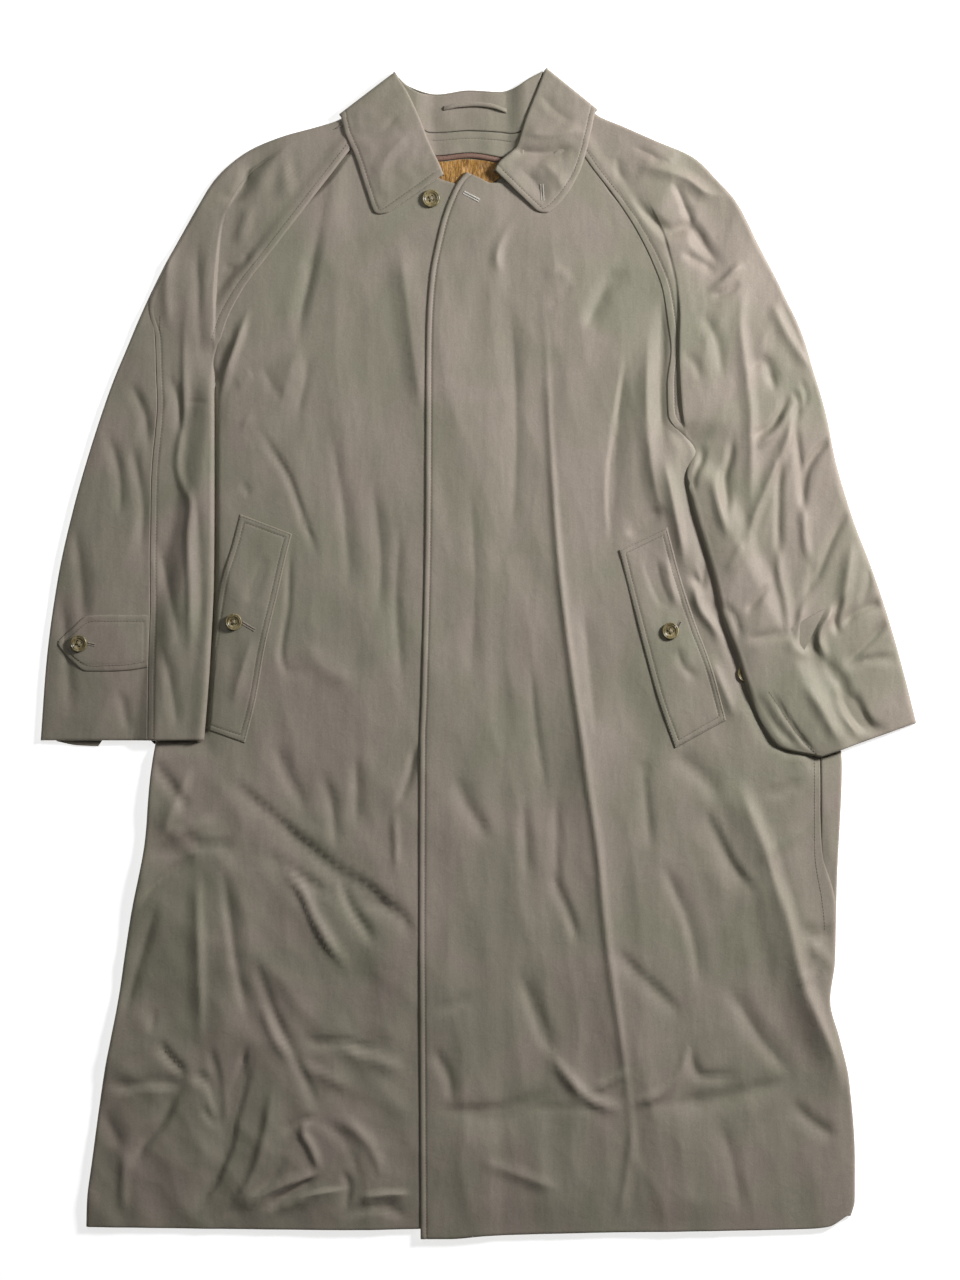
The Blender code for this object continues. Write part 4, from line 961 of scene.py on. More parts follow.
def build_sleeve_front(arm, material):
    """Top of a sleeve, from the overarm seam over its crest to the free edge or seam."""
    outer, crest, seam, up = sleeve_lines(arm, SLEEVE_CELL)
    across_top = widths(crest, outer)
    strip = np.maximum(along(arm.wrap, outer[:, 1]), NARROWEST)[:, None]
    plain = plain_edge(strip)
    strip = (strip + GAP) * (1 - plain)
    cells = across((across_top - strip)[:, 0], SLEEVE_CELL, STITCHED, (0.0,)) + strip
    top_x, top_y = lay_between(outer, crest, cells, across_top)
    top_z = sleeve_top(arm, top_x, top_y, cells / across_top, up)
    inset = cells - strip
    top_z -= (rolled(inset, 0.4, 0.8) + groove(inset, STITCH_INSET)) * (1 - plain)
    top_z -= rolled(inset, 3.4, 3.6) * plain
    fall = widths(seam, crest)
    near = np.minimum(5.0, fall)
    steps = np.hstack((np.linspace(0, 1, 9)[None, 1:] * near,
                       near + np.linspace(0, 1, 20)[None, 1:] * (fall - near)))
    down_x, down_y = lay_between(crest, seam, steps, fall)
    above = ease((crest[:, 1:] - arm.armpit + 4) / 24)
    edge_z = sleeve_top(arm, crest[:, :1], crest[:, 1:], np.ones(fall.shape), up)
    base = sleeve_floor(arm, seam[:, :1], seam[:, 1:])
    closed = base + (edge_z - base) * np.sqrt(1 - np.clip(steps / fall, 0, 1) ** 2)
    flat_z = sleeve_top(arm, down_x, down_y, np.zeros(steps.shape) + 0.5, up)
    flat_z -= CROWN * (1 - ease((down_y - arm.armpit + 4) / 24))
    lift = FOLD_LIFT * ease((470 - crest[:, 1:]) / 150)
    flat_z -= lift * 0.5 * ease((down_y - arm.armpit + 4) / 24)
    inside = fall - steps
    lapped = ease((2.6 * TUCK - inside) / (1.4 * TUCK))
    flat_z += lapped * (front_top(down_x, down_y) + LAP - flat_z)
    step = flat_z + (edge_z - flat_z) * (1 - ease(steps / 3.2))
    step -= rolled(inside, 0.6, 0.9) + groove(inside, 8.0, 0.5)
    down_z = closed * (1 - above) + step * above
    x = np.hstack((top_x, down_x))
    y = np.hstack((top_y, down_y))
    z = np.hstack((top_z, down_z)) - rolled(up)
    return cloth_sheet("sleeve_" + arm.side + "_front_cloth", x, y, z, material,
                       flip=arm.side == "left")


LEAF_TOP = 11.4  # height of the front leaves' upper face
LEAF_EDGE = 9.6  # the same along the free edge
LEAF_CELL = 1.8
LEAF_COLUMNS = 36  # columns between a leaf's roll and its stitched edge
LEAF_CORNER = 11.0  # radius of the leaves' tips
ROLL = 2.4  # radius of the roll at the neck
FALL_TURN = 3.2  # radius of the turn beside each peak
FALL_ROWS = 70  # rows of the fall behind the neck
STRIP_ROWS = 90  # rows of the strips inside the neck and cuff
WELT_CELL = 2.4
TAB_CELL = 1.8


def leaf_grid(rows, from_tip):
    """Places on one front leaf, with its tip rounded off, and distances from its edges."""
    table = np.array(rows, float).reshape(-1, 4)
    run = run_along(0.5 * (table[:, :2] + table[:, 2:]))
    if from_tip:
        at = across([run[-1]], LEAF_CELL, STITCHED, (0.0,))[0]
        front = at[:, None]
    else:
        at = across([run[-1]], LEAF_CELL, (0.0,), STITCHED)[0]
        front = run[-1] - at[:, None]
    fine = columns_at(run, table, at)
    roll = fine[:, :2]
    edge = fine[:, 2:]
    width = widths(edge, roll)
    offset = across(width[:, 0] - ROLL, LEAF_CELL, (0.0,), STITCHED, LEAF_COLUMNS) + ROLL
    side = width - offset
    # How far into the rounded corner a place is, from the free edge and from the front
    a = 1 - np.clip(side / LEAF_CORNER, 0, 1)
    b = 1 - np.clip(front / LEAF_CORNER, 0, 1)
    corner = (a > 0) & (b > 0)
    side = np.where(corner, LEAF_CORNER * (1 - a * np.sqrt(1 - b * b / 2)), side)
    near = np.where(corner, LEAF_CORNER * (1 - b * np.sqrt(1 - a * a / 2)), front)
    front = np.broadcast_to(near, side.shape)
    level = front if from_tip else run[-1] - front
    roll_at = columns_at(run, table[:, :2], level)
    way = columns_at(run, table[:, 2:], level) - roll_at
    share = 1 - side / np.hypot(way[..., 0], way[..., 1])
    x = roll_at[..., 0] + share * way[..., 0]
    y = roll_at[..., 1] + share * way[..., 1]
    depth = 1 - np.sqrt(np.clip(a * a + b * b - a * a * b * b, 0, 1))
    inner = np.where(corner, LEAF_CORNER * depth, np.minimum(side, front))
    return x, y, share, inner, front, roll, edge


def leaf_height(x, y, share, inner, front):
    """Upper face of a front leaf: a slight dome with a pressed, topstitched edge."""
    top = LEAF_TOP + (LEAF_EDGE - LEAF_TOP) * share + 0.7 * np.sin(pi * np.clip(share, 0, 1))
    lift = np.where(x > 0, 2.2, 0.8) * (1 - ease(front / 26)) * (1 - ease((share - 0.1) / 0.5))
    wave = 0.5 * soft_noise(x, y, 26, 61) + 0.35 * soft_noise(x + y, y - x, 12, 63)
    relief = (wave + crease_height(x, y, COLLAR_CREASES)) * ease(inner / 8)
    return top + lift + relief - rolled(inner, 1.5, 2.2) - groove(inner, STITCH_INSET)


def build_fall(material):
    """Collar fall: both leaves, their turn at each peak and the part beneath the neck."""
    leaves = []
    curl = np.linspace(-60, 90, 7)[None, :-1] * pi / 180
    for rows, from_tip in ((RIGHT_LEAF, True), (LEFT_LEAF, False)):
        x, y, share, inner, front, roll, edge = leaf_grid(rows, from_tip)
        z = leaf_height(x, y, share, inner, front)
        width = widths(edge, roll)
        roll_x, roll_y = lay_between(roll, edge, ROLL * (1 - np.cos(curl)), width)
        roll_z = z[:, :1] - ROLL + ROLL * np.sin(curl)
        leaves.append((np.hstack((roll_x, x)), np.hstack((roll_y, y)), np.hstack((roll_z, z))))
    columns = leaves[0][0].shape[1]
    table = np.array(FALL_BEHIND, float).reshape(-1, 4)
    run = run_along(table[:, :2])
    fine = columns_at(run, table, np.linspace(FALL_TURN, run[-1] - FALL_TURN, FALL_ROWS))
    width = np.linalg.norm(fine[:, 2:] - fine[:, :2], axis=1)[:, None]
    curled = np.repeat(ROLL * (1 - np.cos(curl)), FALL_ROWS, 0)
    flat = ROLL + np.linspace(0, 1, columns - curl.shape[1])[None, :] * (width - ROLL)
    offset = np.hstack((curled, flat))
    x, y = lay_between(fine[:, :2], fine[:, 2:], offset, width)
    z = np.hstack((np.repeat(ROLL - ROLL * np.sin(curl), FALL_ROWS, 0), np.zeros(flat.shape)))
    behind = (x, y, z + 0.5 * rolled(width - offset))
    turns = []
    for leaf, last in ((leaves[0], -1), (leaves[1], 0)):
        side_x, side_y, top = (axis[last] for axis in leaf)
        out = np.array((-(side_y[-1] - side_y[0]), side_x[-1] - side_x[0]))
        out = out / np.linalg.norm(out) * (1 if out[1] > 0 else -1)
        angle = np.linspace(90, -90, 10)[1:-1, None] * pi / 180
        reach = FALL_TURN * np.cos(angle)
        turns.append((side_x + reach * out[0], side_y + reach * out[1],
                      0.5 * top + 0.5 * top * np.sin(angle)))
    stack = [np.vstack((leaves[0][axis], turns[0][axis], behind[axis], turns[1][axis][::-1],
                        leaves[1][axis])) for axis in range(3)]
    return cloth_sheet("collar_fall_cloth", *stack, material, flip=True)


def strip_between(name, head, foot, z_head, z_foot, material, cell=1.6, relief=None,
                  head_roll=0.0, foot_roll=0.0):
    """Strip of cloth between two smooth lines, each a list of places."""
    lines = []
    for line in (head, foot):
        table = np.array(line, float)
        run = run_along(table)
        lines.append(columns_at(run, table, np.linspace(0, run[-1], STRIP_ROWS)))
    x, y, cells, width = grid_between(*lines, cell, ROLLED[:4], ROLLED[:4])
    share = cells / width
    z = z_head + (z_foot - z_head) * share
    z = z - rolled(cells, head_roll, 2.4) - rolled(width - cells, foot_roll, 1.4)
    if relief:
        z = z + relief(x, y, share)
    return cloth_sheet(name, x, y, z, material)


def build_neck(cloth, lining_cloth, piping_cloth):
    """Stand, facing, piping and lining inside the back of the neck, and the hanger loop."""
    foot = FALL_RISE + WALL + GAP + 0.9
    pieces = {}

    def stand_relief(x, y, share):
        seam = -0.4 * np.exp(-((x - 27.5) / 0.8) ** 2) * ease((y - 548) / 4)
        sides = 5.0 * ease((np.abs(x + 8) - 34) / 22)
        return 0.5 * soft_noise(x, y, 18, 71) + seam + sides * (1 - 0.4 * share)

    def facing_relief(x, y, share):
        sides = 2.2 * ease((np.abs(x + 8) - 34) / 16)
        return 0.45 * soft_noise(x, y, 14, 73) - groove(share * 22, 7.5) + sides

    def lining_relief(x, y, share):
        tufts = 0.5 * np.abs(soft_noise(x * 3.2, y, 9, 75))
        return tufts + 0.7 * soft_noise(x, y, 9, 77)

    def loop_relief(x, y, share):
        ends = np.abs(x + 3.5) / 31.5
        return 1.7 * (1 - ends ** 6) + 0.7 * np.sin(pi * share)

    pieces["collar_stand"] = strip_between(
        "collar_stand_cloth", STAND_TOP, NECK_SEAM, 5.2, foot - 0.3, cloth,
        relief=stand_relief, head_roll=3.0, foot_roll=1.6)
    lower = [(x, y - GAP) for x, y in NECK_SEAM]
    pieces["neck_facing"] = strip_between(
        "neck_facing_cloth", lower, FACING_FOOT, foot, foot, cloth,
        relief=facing_relief, head_roll=1.5, foot_roll=1.2)
    head = [(x, y - GAP) for x, y in FACING_FOOT[1:-1]]
    tail = [(x, y - PIPING_WIDTH) for x, y in head]
    pieces["neck_piping"] = strip_between(
        "neck_piping_satin", head, tail, foot - 0.7, foot - 0.7, piping_cloth, cell=0.8,
        relief=lambda x, y, share: 0.9 * np.sin(pi * share), head_roll=0.5, foot_roll=0.7)
    pieces["lining"] = strip_between(
        "lining_pile", LINING_HEAD, LINING_FOOT, foot - 0.9, foot - 0.6, lining_cloth,
        cell=0.9, relief=lining_relief)
    head, tail = ([(x, y + side * LOOP_WIDTH / 2) for x, y in LOOP_ROUTE] for side in (1, -1))
    pieces["hanger_loop"] = strip_between(
        "hanger_loop_cloth", head, tail, 6.3, 6.5, cloth, cell=0.7, relief=loop_relief,
        head_roll=0.8, foot_roll=0.8)
    return pieces


# Strips that peek out under the right cuff, each with its cut in metres
CuffStrip = namedtuple("CuffStrip", "name slot head foot flat")
CUFF_INSIDES = (
    CuffStrip("cuff_inside_lining", "lining", ((-330, -84), (-300, -85), (-276, -86)),
              ((-325, -89.5), (-300, -93.5), (-275, -96)), (0.052, 0.0112)),
    CuffStrip("cuff_lower_layer", "cloth", ((-424, -82), (-400, -84), (-376, -85)),
              ((-422.5, -87), (-402, -91), (-381, -92)), (0.043, 0.0100)))


def build_cuff_insides(cloth, lining_cloth):
    """Strips that peek out under the right cuff: the inside, in painted shade, and the lower layer.
    """
    pieces = []
    for strip, material in zip(CUFF_INSIDES, (lining_cloth, cloth)):
        piece = strip_between(strip.name, strip.head, strip.foot, 2.6, 1.6, material,
                              foot_roll=0.5)
        pieces.append((strip, piece))
    return pieces


COLLAR_CREASES = crease_list(
    (-3.6, 8, 12, (30, 505), (60, 501), (98, 506)),
    (2.4, 14, 9, (44, 520), (70, 518), (104, 526)),
    (-1.8, 9, 12, (40, 486), (56, 472), (68, 450)),
    (1.6, 12, 12, (60, 492), (78, 478), (84, 462)),
    (0.9, 10, 10, (-60, 530), (-95, 490), (-98, 455)),
    (-0.9, 8, 8, (-76, 545), (-100, 520), (-120, 515)),
    (-0.9, 8, 8, (60, 560), (80, 540), (95, 530)))


class Surface:
    """Outer faces of laid pieces, for asking where a stitch or a welt lies."""

    def __init__(self, pieces):
        verts = []
        faces = []
        for piece in pieces:
            mesh = piece.data
            start = len(verts)
            flat = np.empty(len(mesh.vertices) * 3)
            mesh.vertices.foreach_get("co", flat)
            verts += (flat.reshape(-1, 3) / MM).tolist()
            faces += [[start + index for index in face.vertices] for face in mesh.polygons]
        self.tree = BVHTree.FromPolygons(verts, faces)

    def height(self, x, y):
        """Height of the uppermost face at a place."""
        place = self.tree.ray_cast(Vector((x, y, HIGH_ABOVE)), Vector((0, 0, -1)))[0]
        return 0.0 if place is None else place.z

    def top(self, x, y):
        """Height of the uppermost face at each place of a grid."""
        return np.array([self.height(*place) for place in zip(x.ravel(), y.ravel())]
                        ).reshape(x.shape)


def patch_grid(rows, cell):
    """Grid on a welt or tab and the distance of each place inside its edges."""
    inner = np.array([row[0] for row in rows], float)
    outer = np.array([row[1] for row in rows], float)
    run = run_along(0.5 * (inner + outer))
    at = across([run[-1]], cell, STITCHED, STITCHED)[0]
    inner = columns_at(run, inner, at)
    outer = columns_at(run, outer, at)
    wide = np.linalg.norm(outer - inner, axis=1).min() > 20
    edge = STITCHED if wide else ROLLED[:4]
    x, y, offset, width = grid_between(inner, outer, cell, edge, edge)
    return x, y, offset, width - offset, at[:, None], run[-1] - at[:, None]


def bridged(floor, passes):
    """Floor beneath a stiff band, with its hollows filled."""
    smooth = floor
    for _ in range(passes):
        padded = np.pad(smooth, 1, mode="edge")
        smooth = np.maximum(floor, 0.25 * (padded[:-2, 1:-1] + padded[2:, 1:-1]
                                           + padded[1:-1, :-2] + padded[1:-1, 2:]))
    return smooth


def build_welt(name, rows, below, seed, material):
    """Pocket welt: a topstitched band that lies on the front."""
    x, y, inner, outer, head, foot = patch_grid(rows, WELT_CELL)
    inside = np.minimum(np.minimum(inner, outer), np.minimum(head, foot))
    floor = below.top(x, y)
    z = bridged(floor, 3) + 1.3 + 0.5 * ease(inside / 20) + soft_noise(x, y * 0.6, 34, seed)
    z += crease_height(x, y, WELT_CREASES) * ease(inside / 8)
    z = np.maximum(z, floor + 1.1) - rolled(inside, 0.9, 1.6)
    z -= groove(inside, STITCH_INSET) + groove(inside, 1.6, 0.25)
    return cloth_sheet(name + "_cloth", x, y, z, material)


WELT_CREASES = crease_list(
    (-2.0, 9, 9, (170, 100), (178, 70), (190, 45)),
    (1.8, 9, 9, (186, 100), (192, 70), (200, 45)),
    (-1.6, 8, 8, (198, 8), (206, -14), (220, -24)),
    (-1.4, 9, 9, (-212, 100), (-222, 70), (-230, 50)),
    (1.4, 9, 9, (-225, 20), (-238, -20), (-246, -50)))


def build_tab(below, material):
    """Cuff tab of the right sleeve: buttoned down at its point."""
    x, y, inner, outer, head, foot = patch_grid(RIGHT_TAB, TAB_CELL)
    inside = np.minimum(np.minimum(inner, outer), np.minimum(foot, head + 2.6))
    z = bridged(below.top(x, y), 8) + 1.35 + 0.4 * ease(inside / 12)
    z += 0.35 * soft_noise(x, y, 22, 83) - rolled(inside, 1.2, 2.0) - groove(inside, STITCH_INSET)
    return cloth_sheet("cuff_tab_right_cloth", x, y, z, material, flip=True)


def build_left_tab(material):
    """Cuff tab of the left sleeve, turned under the sleeve's edge with its button."""
    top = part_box("cuff_tab_left")[1].z / MM
    x, y, inner, outer = patch_grid(LEFT_TAB, WELT_CELL)[:4]
    z = top - 0.4 - rolled(np.minimum(inner, outer), 1.0, 2.0)
    return cloth_sheet("cuff_tab_left_cloth", x, y, z, material)


# Half of a button's outline, from its middle out and back: shares of its radius and height
BUTTON_PROFILE = ((0.0, 0.1), (0.55, 0.0), (0.86, 0.05), (0.97, 0.22), (1.0, 0.45), (0.985, 0.72),
                  (0.94, 0.92), (0.88, 1.0), (0.82, 0.97), (0.79, 0.80), (0.76, 0.78),
                  (0.73, 0.88), (0.69, 0.90), (0.65, 0.78), (0.60, 0.62), (0.40, 0.56),
                  (0.0, 0.56))
BUTTON_HEIGHT = 3.0
BUTTON_FACE = 0.56 * BUTTON_HEIGHT  # height of the dished face inside the rims
HOLE_RING = 2.6  # distance of each hole from the button's middle
HOLE_RADIUS = 1.2
STRAND = 0.34  # radius of a strand of its thread


def paint(verts, index):
    """Give the faces at some corners one of their piece's materials."""
    for face in {face for vert in verts for face in vert.link_faces}:
        face.material_index = index


def build_button(button, base, material, thread):
    """Four-hole horn button with a rounded rim, a dished face and its thread."""
    radius = button.width / 2
    mesh = bmesh.new()
    verts = [mesh.verts.new((share * radius * MM, 0, level * BUTTON_HEIGHT * MM))
             for share, level in BUTTON_PROFILE]
    edges = [mesh.edges.new(pair) for pair in zip(verts, verts[1:])]
    bmesh.ops.spin(mesh, geom=verts + edges, axis=(0, 0, 1), cent=(0, 0, 0),
                   angle=2 * pi, steps=40, use_merge=True)
    bmesh.ops.remove_doubles(mesh, verts=mesh.verts, dist=0.00001)
    bmesh.ops.recalc_face_normals(mesh, faces=mesh.faces)
    for face in mesh.faces:
        face.smooth = True
    holes = []
    for turn in range(4):
        angle = radians(button.turn + 45 + 90 * turn)
        centre = Vector((cos(angle), sin(angle), 0)) * HOLE_RING * MM
        holes.append(centre)
        rim = bmesh.ops.create_cone(mesh, cap_ends=True, segments=14, radius1=HOLE_RADIUS * MM,
                                    radius2=HOLE_RADIUS * MM, depth=0.3 * MM)
        bmesh.ops.translate(mesh, verts=rim["verts"],
                            vec=centre + Vector((0, 0, BUTTON_FACE - 0.08)) * MM)
        # Each hole is a flat disc in painted shade, not a hole through the horn
        paint(rim["verts"], 1)
    for first, second in ((0, 2), (1, 3)):
        run = holes[second] - holes[first]
        side = Vector((-run.y, run.x, 0)).normalized()
        for shift in (-0.35, 0.35):
            made = bmesh.ops.create_cone(mesh, cap_ends=True, segments=8, radius1=STRAND * MM,
                                         radius2=STRAND * MM, depth=run.length * 0.96)
            turned = Vector((0, 0, 1)).rotation_difference(run).to_matrix()
            bmesh.ops.rotate(mesh, verts=made["verts"], cent=(0, 0, 0), matrix=turned)
            middle = (holes[first] + holes[second]) / 2 + side * shift * MM
            bmesh.ops.translate(mesh, verts=made["verts"],
                                vec=middle + Vector((0, 0, BUTTON_FACE + 0.35)) * MM)
            paint(made["verts"], 2)
            for face in {face for vert in made["verts"] for face in vert.link_faces}:
                face.smooth = True
    bmesh.ops.translate(mesh, verts=mesh.verts, vec=Vector((button.x, button.y, base)) * MM)
    return laid_object(button.name + "_horn", mesh, material, painted_hole_shade(), thread)


def stitch_row(mesh, route, surface):
    """Row of stitches along a route, each a small rounded bar lying in the cloth."""
    sizes = bpy.context.scene.coat_sizes
    length = sizes.stitch_length / MM
    points = route_points(route, 1.0)
    run = run_along(points)
    for at in np.arange(sizes.stitch_pitch / MM / 2, run[-1], sizes.stitch_pitch / MM):
        ends = [(np.interp(at + shift, run, points[:, 0]), np.interp(at + shift, run, points[:, 1]))
                for shift in (-length / 2, length / 2)]
        places = [Vector((x, y, surface.height(x, y))) for x, y in ends]
        if abs(places[0].z - places[1].z) > length:
            continue
        along_way = (places[1] - places[0]).normalized()
        side = along_way.cross(Vector((0, 0, 1))).normalized()
        up = side.cross(along_way)
        middle = (places[0] + places[1]) / 2
        middle.z = max(middle.z, surface.height(middle.x, middle.y))
        made = bmesh.ops.create_uvsphere(mesh, u_segments=6, v_segments=4, radius=1.0)
        for vert in made["verts"]:
            local = vert.co
            vert.co = (middle + along_way * local.z * length / 2
                       + side * local.x * STITCH_WIDTH / 2
                       + up * (local.y * STITCH_WIDTH / 2 + STITCH_LIFT)) * MM


def grid_ring(x, y, index):
    """Route round a grid, along the line counted in from its edges."""
    inner = slice(index, -index)
    far = -index - 1
    points = []
    for line_x, line_y in ((x[index, inner], y[index, inner]),
                           (x[inner, far], y[inner, far]),
                           (x[far, inner][::-1], y[far, inner][::-1]),
                           (x[inner, index][::-1], y[inner, index][::-1])):
        for px, py in zip(line_x, line_y):
            if not points or np.hypot(px - points[-1][0], py - points[-1][1]) > 0.5:
                points.append((px, py))
    return points


SIX_IN = 8  # line of the stitched edge's grid that lies 6 mm inside
EDGE_IN = 3  # and the one by its edge
CUFF_SEAM = ((289.5, -36.5), (304, -58), (317.5, -78.5), (338.5, -100))


def beside(line, other, inset):
    """A line moved towards another one."""
    way = other - line
    return line + way / np.linalg.norm(way, axis=1)[:, None] * inset


def arm_seam(arm, inset):
    """Route beside the raglan seam of a sleeve, set into the sleeve."""
    outer, crest, seam, up = sleeve_lines(arm, 8.0)
    keep = seam[:, 1] > arm.armpit + 6
    return [tuple(point) for point in beside(seam, crest, inset)[keep][:-2]]


def overarm_seam(arm, inset):
    """Route beside the overarm seam of a sleeve, as far as the back shows beyond it."""
    outer, crest, seam, up = sleeve_lines(arm, 8.0)
    strip = along(arm.wrap, outer[:, 1])
    return [tuple(point) for point in beside(outer, crest, strip[:, None] + inset)[strip > 12]]


def stitch_routes():
    """Routes of the stitching on the body, sleeves and collar."""
    fly = [(along(FLY, y) + STITCH_INSET, y) for y in np.arange(-580, 470, 12.0)]
    side = [(along(LEFT_SIDE, y) - along(SIDE_WRAP, y) - STITCH_INSET, y)
            for y in np.arange(-276, 96, 12.0)]
    leaves = []
    for rows, from_tip in ((RIGHT_LEAF, True), (LEFT_LEAF, False)):
        x, y = leaf_grid(rows, from_tip)[:2]
        column = -SIX_IN - 1
        row = SIX_IN if from_tip else column
        tip = list(zip(x[row, 3:column], y[row, 3:column]))
        down = slice(SIX_IN, -3) if from_tip else slice(3, -SIX_IN)
        edge = list(zip(x[down, column], y[down, column]))
        leaves.append((tip + (edge if from_tip else edge[::-1]))[::2])
    facing = [(x, along(sorted(NECK_SEAM), x) - 7.8) for x in np.arange(-46, 36, 4.0)]
    return {
        "front_left": [fly, side],
        "sleeve_right_front": [arm_seam(ARMS[0], 8.0), overarm_seam(ARMS[0], GAP + 6.0)],
        "sleeve_left_front": [arm_seam(ARMS[1], 8.0), CUFF_SEAM],
        "cuff_tab_right": [TAB_STITCH],
        "collar_fall": leaves,
        "neck_facing": [facing]}


def sew(name, routes, surface, material):
    """One piece holding the stitches of several routes."""
    mesh = bmesh.new()
    for route in routes:
        stitch_row(mesh, route, surface)
    for face in mesh.faces:
        face.smooth = True
    return laid_object(name, mesh, material)


def work_buttonhole(name, hole, surface, material):
    """Buttonhole: a close row of short stitches on each side of its slit."""
    mesh = bmesh.new()
    first = Vector(hole.first)
    run = Vector(hole.last) - first
    side = Vector((-run.y, run.x)).normalized()
    turned = Vector((0, 0, 1)).rotation_difference(side.to_3d()).to_matrix()
    count = max(6, int(run.length / TWIST_PITCH))
    for number in range(count + 1):
        for sign in (-1, 1):
            middle = first + run * number / count + side * sign * hole.width * 0.3
            height = surface.height(middle.x, middle.y)
            made = bmesh.ops.create_uvsphere(mesh, u_segments=6, v_segments=4, radius=1.0)
            for vert in made["verts"]:
                local = turned @ Vector((vert.co.x * TWIST_RADIUS, vert.co.y * TWIST_RADIUS,
                                         vert.co.z * hole.width * 0.26))
                vert.co = (Vector((middle.x, middle.y, height + 0.2)) + local) * MM
    slit = bmesh.ops.create_uvsphere(mesh, u_segments=8, v_segments=8, radius=1.0)
    centre = first + run / 2
    height = surface.height(centre.x, centre.y)
    for vert in slit["verts"]:
        flat = centre + run * vert.co.z / 2 + side * vert.co.x * 0.32
        vert.co = Vector((flat.x, flat.y, height + 0.2 + vert.co.y * 0.2)) * MM
    # The slit is a thin dark sheet in painted shade
    paint(slit["verts"], 1)
    for face in mesh.faces:
        face.smooth = True
    return laid_object(name, mesh, material, painted_hole_shade())


def linear(code):
    """Linear colour from an sRGB hex value."""
    values = [int(code[place:place + 2], 16) / 255 for place in (0, 2, 4)]
    return tuple(value / 12.92 if value <= 0.04045 else ((value + 0.055) / 1.055) ** 2.4
                 for value in values) + (1.0,)


def per_metre(size):
    """Scale of a pattern whose features lie a number of millimetres apart."""
    return 1 / (size * MM)


def add_node(material, kind, links=(), fixed=(), stops=(), **settings):
    """Node with its settings, and links from (socket, source node, output).

    A setting with a capital letter is a socket's value, its spaces written as underscores.
    fixed holds (socket, value) pairs, and stops the (place, hex colour) pairs of a ramp.
    """
    tree = material.node_tree
    node = tree.nodes.new("ShaderNode" + kind)
    for name, value in settings.items():
        if name[0].isupper():
            node.inputs[name.replace("_", " ")].default_value = value
        else:
            setattr(node, name, value)
    for socket, value in fixed:
        node.inputs[socket].default_value = value
    for socket, source, output in links:
        tree.links.new(source.outputs[output], node.inputs[socket])
    if stops:
        ramp = node.color_ramp.elements
        for element, (place, code) in zip(ramp, (stops[0], stops[-1])):
            element.position = place
            element.color = linear(code)
        for place, code in stops[1:-1]:
            ramp.new(place).color = linear(code)
    return node


def new_material(name, **values):
    """Material and its shader, with values for sockets, spaces written as underscores."""
    material = bpy.data.materials.new(name)
    material.use_nodes = True
    shader = material.node_tree.nodes["Principled BSDF"]
    for socket, value in values.items():
        shader.inputs[socket.replace("_", " ")].default_value = value
    return material, shader


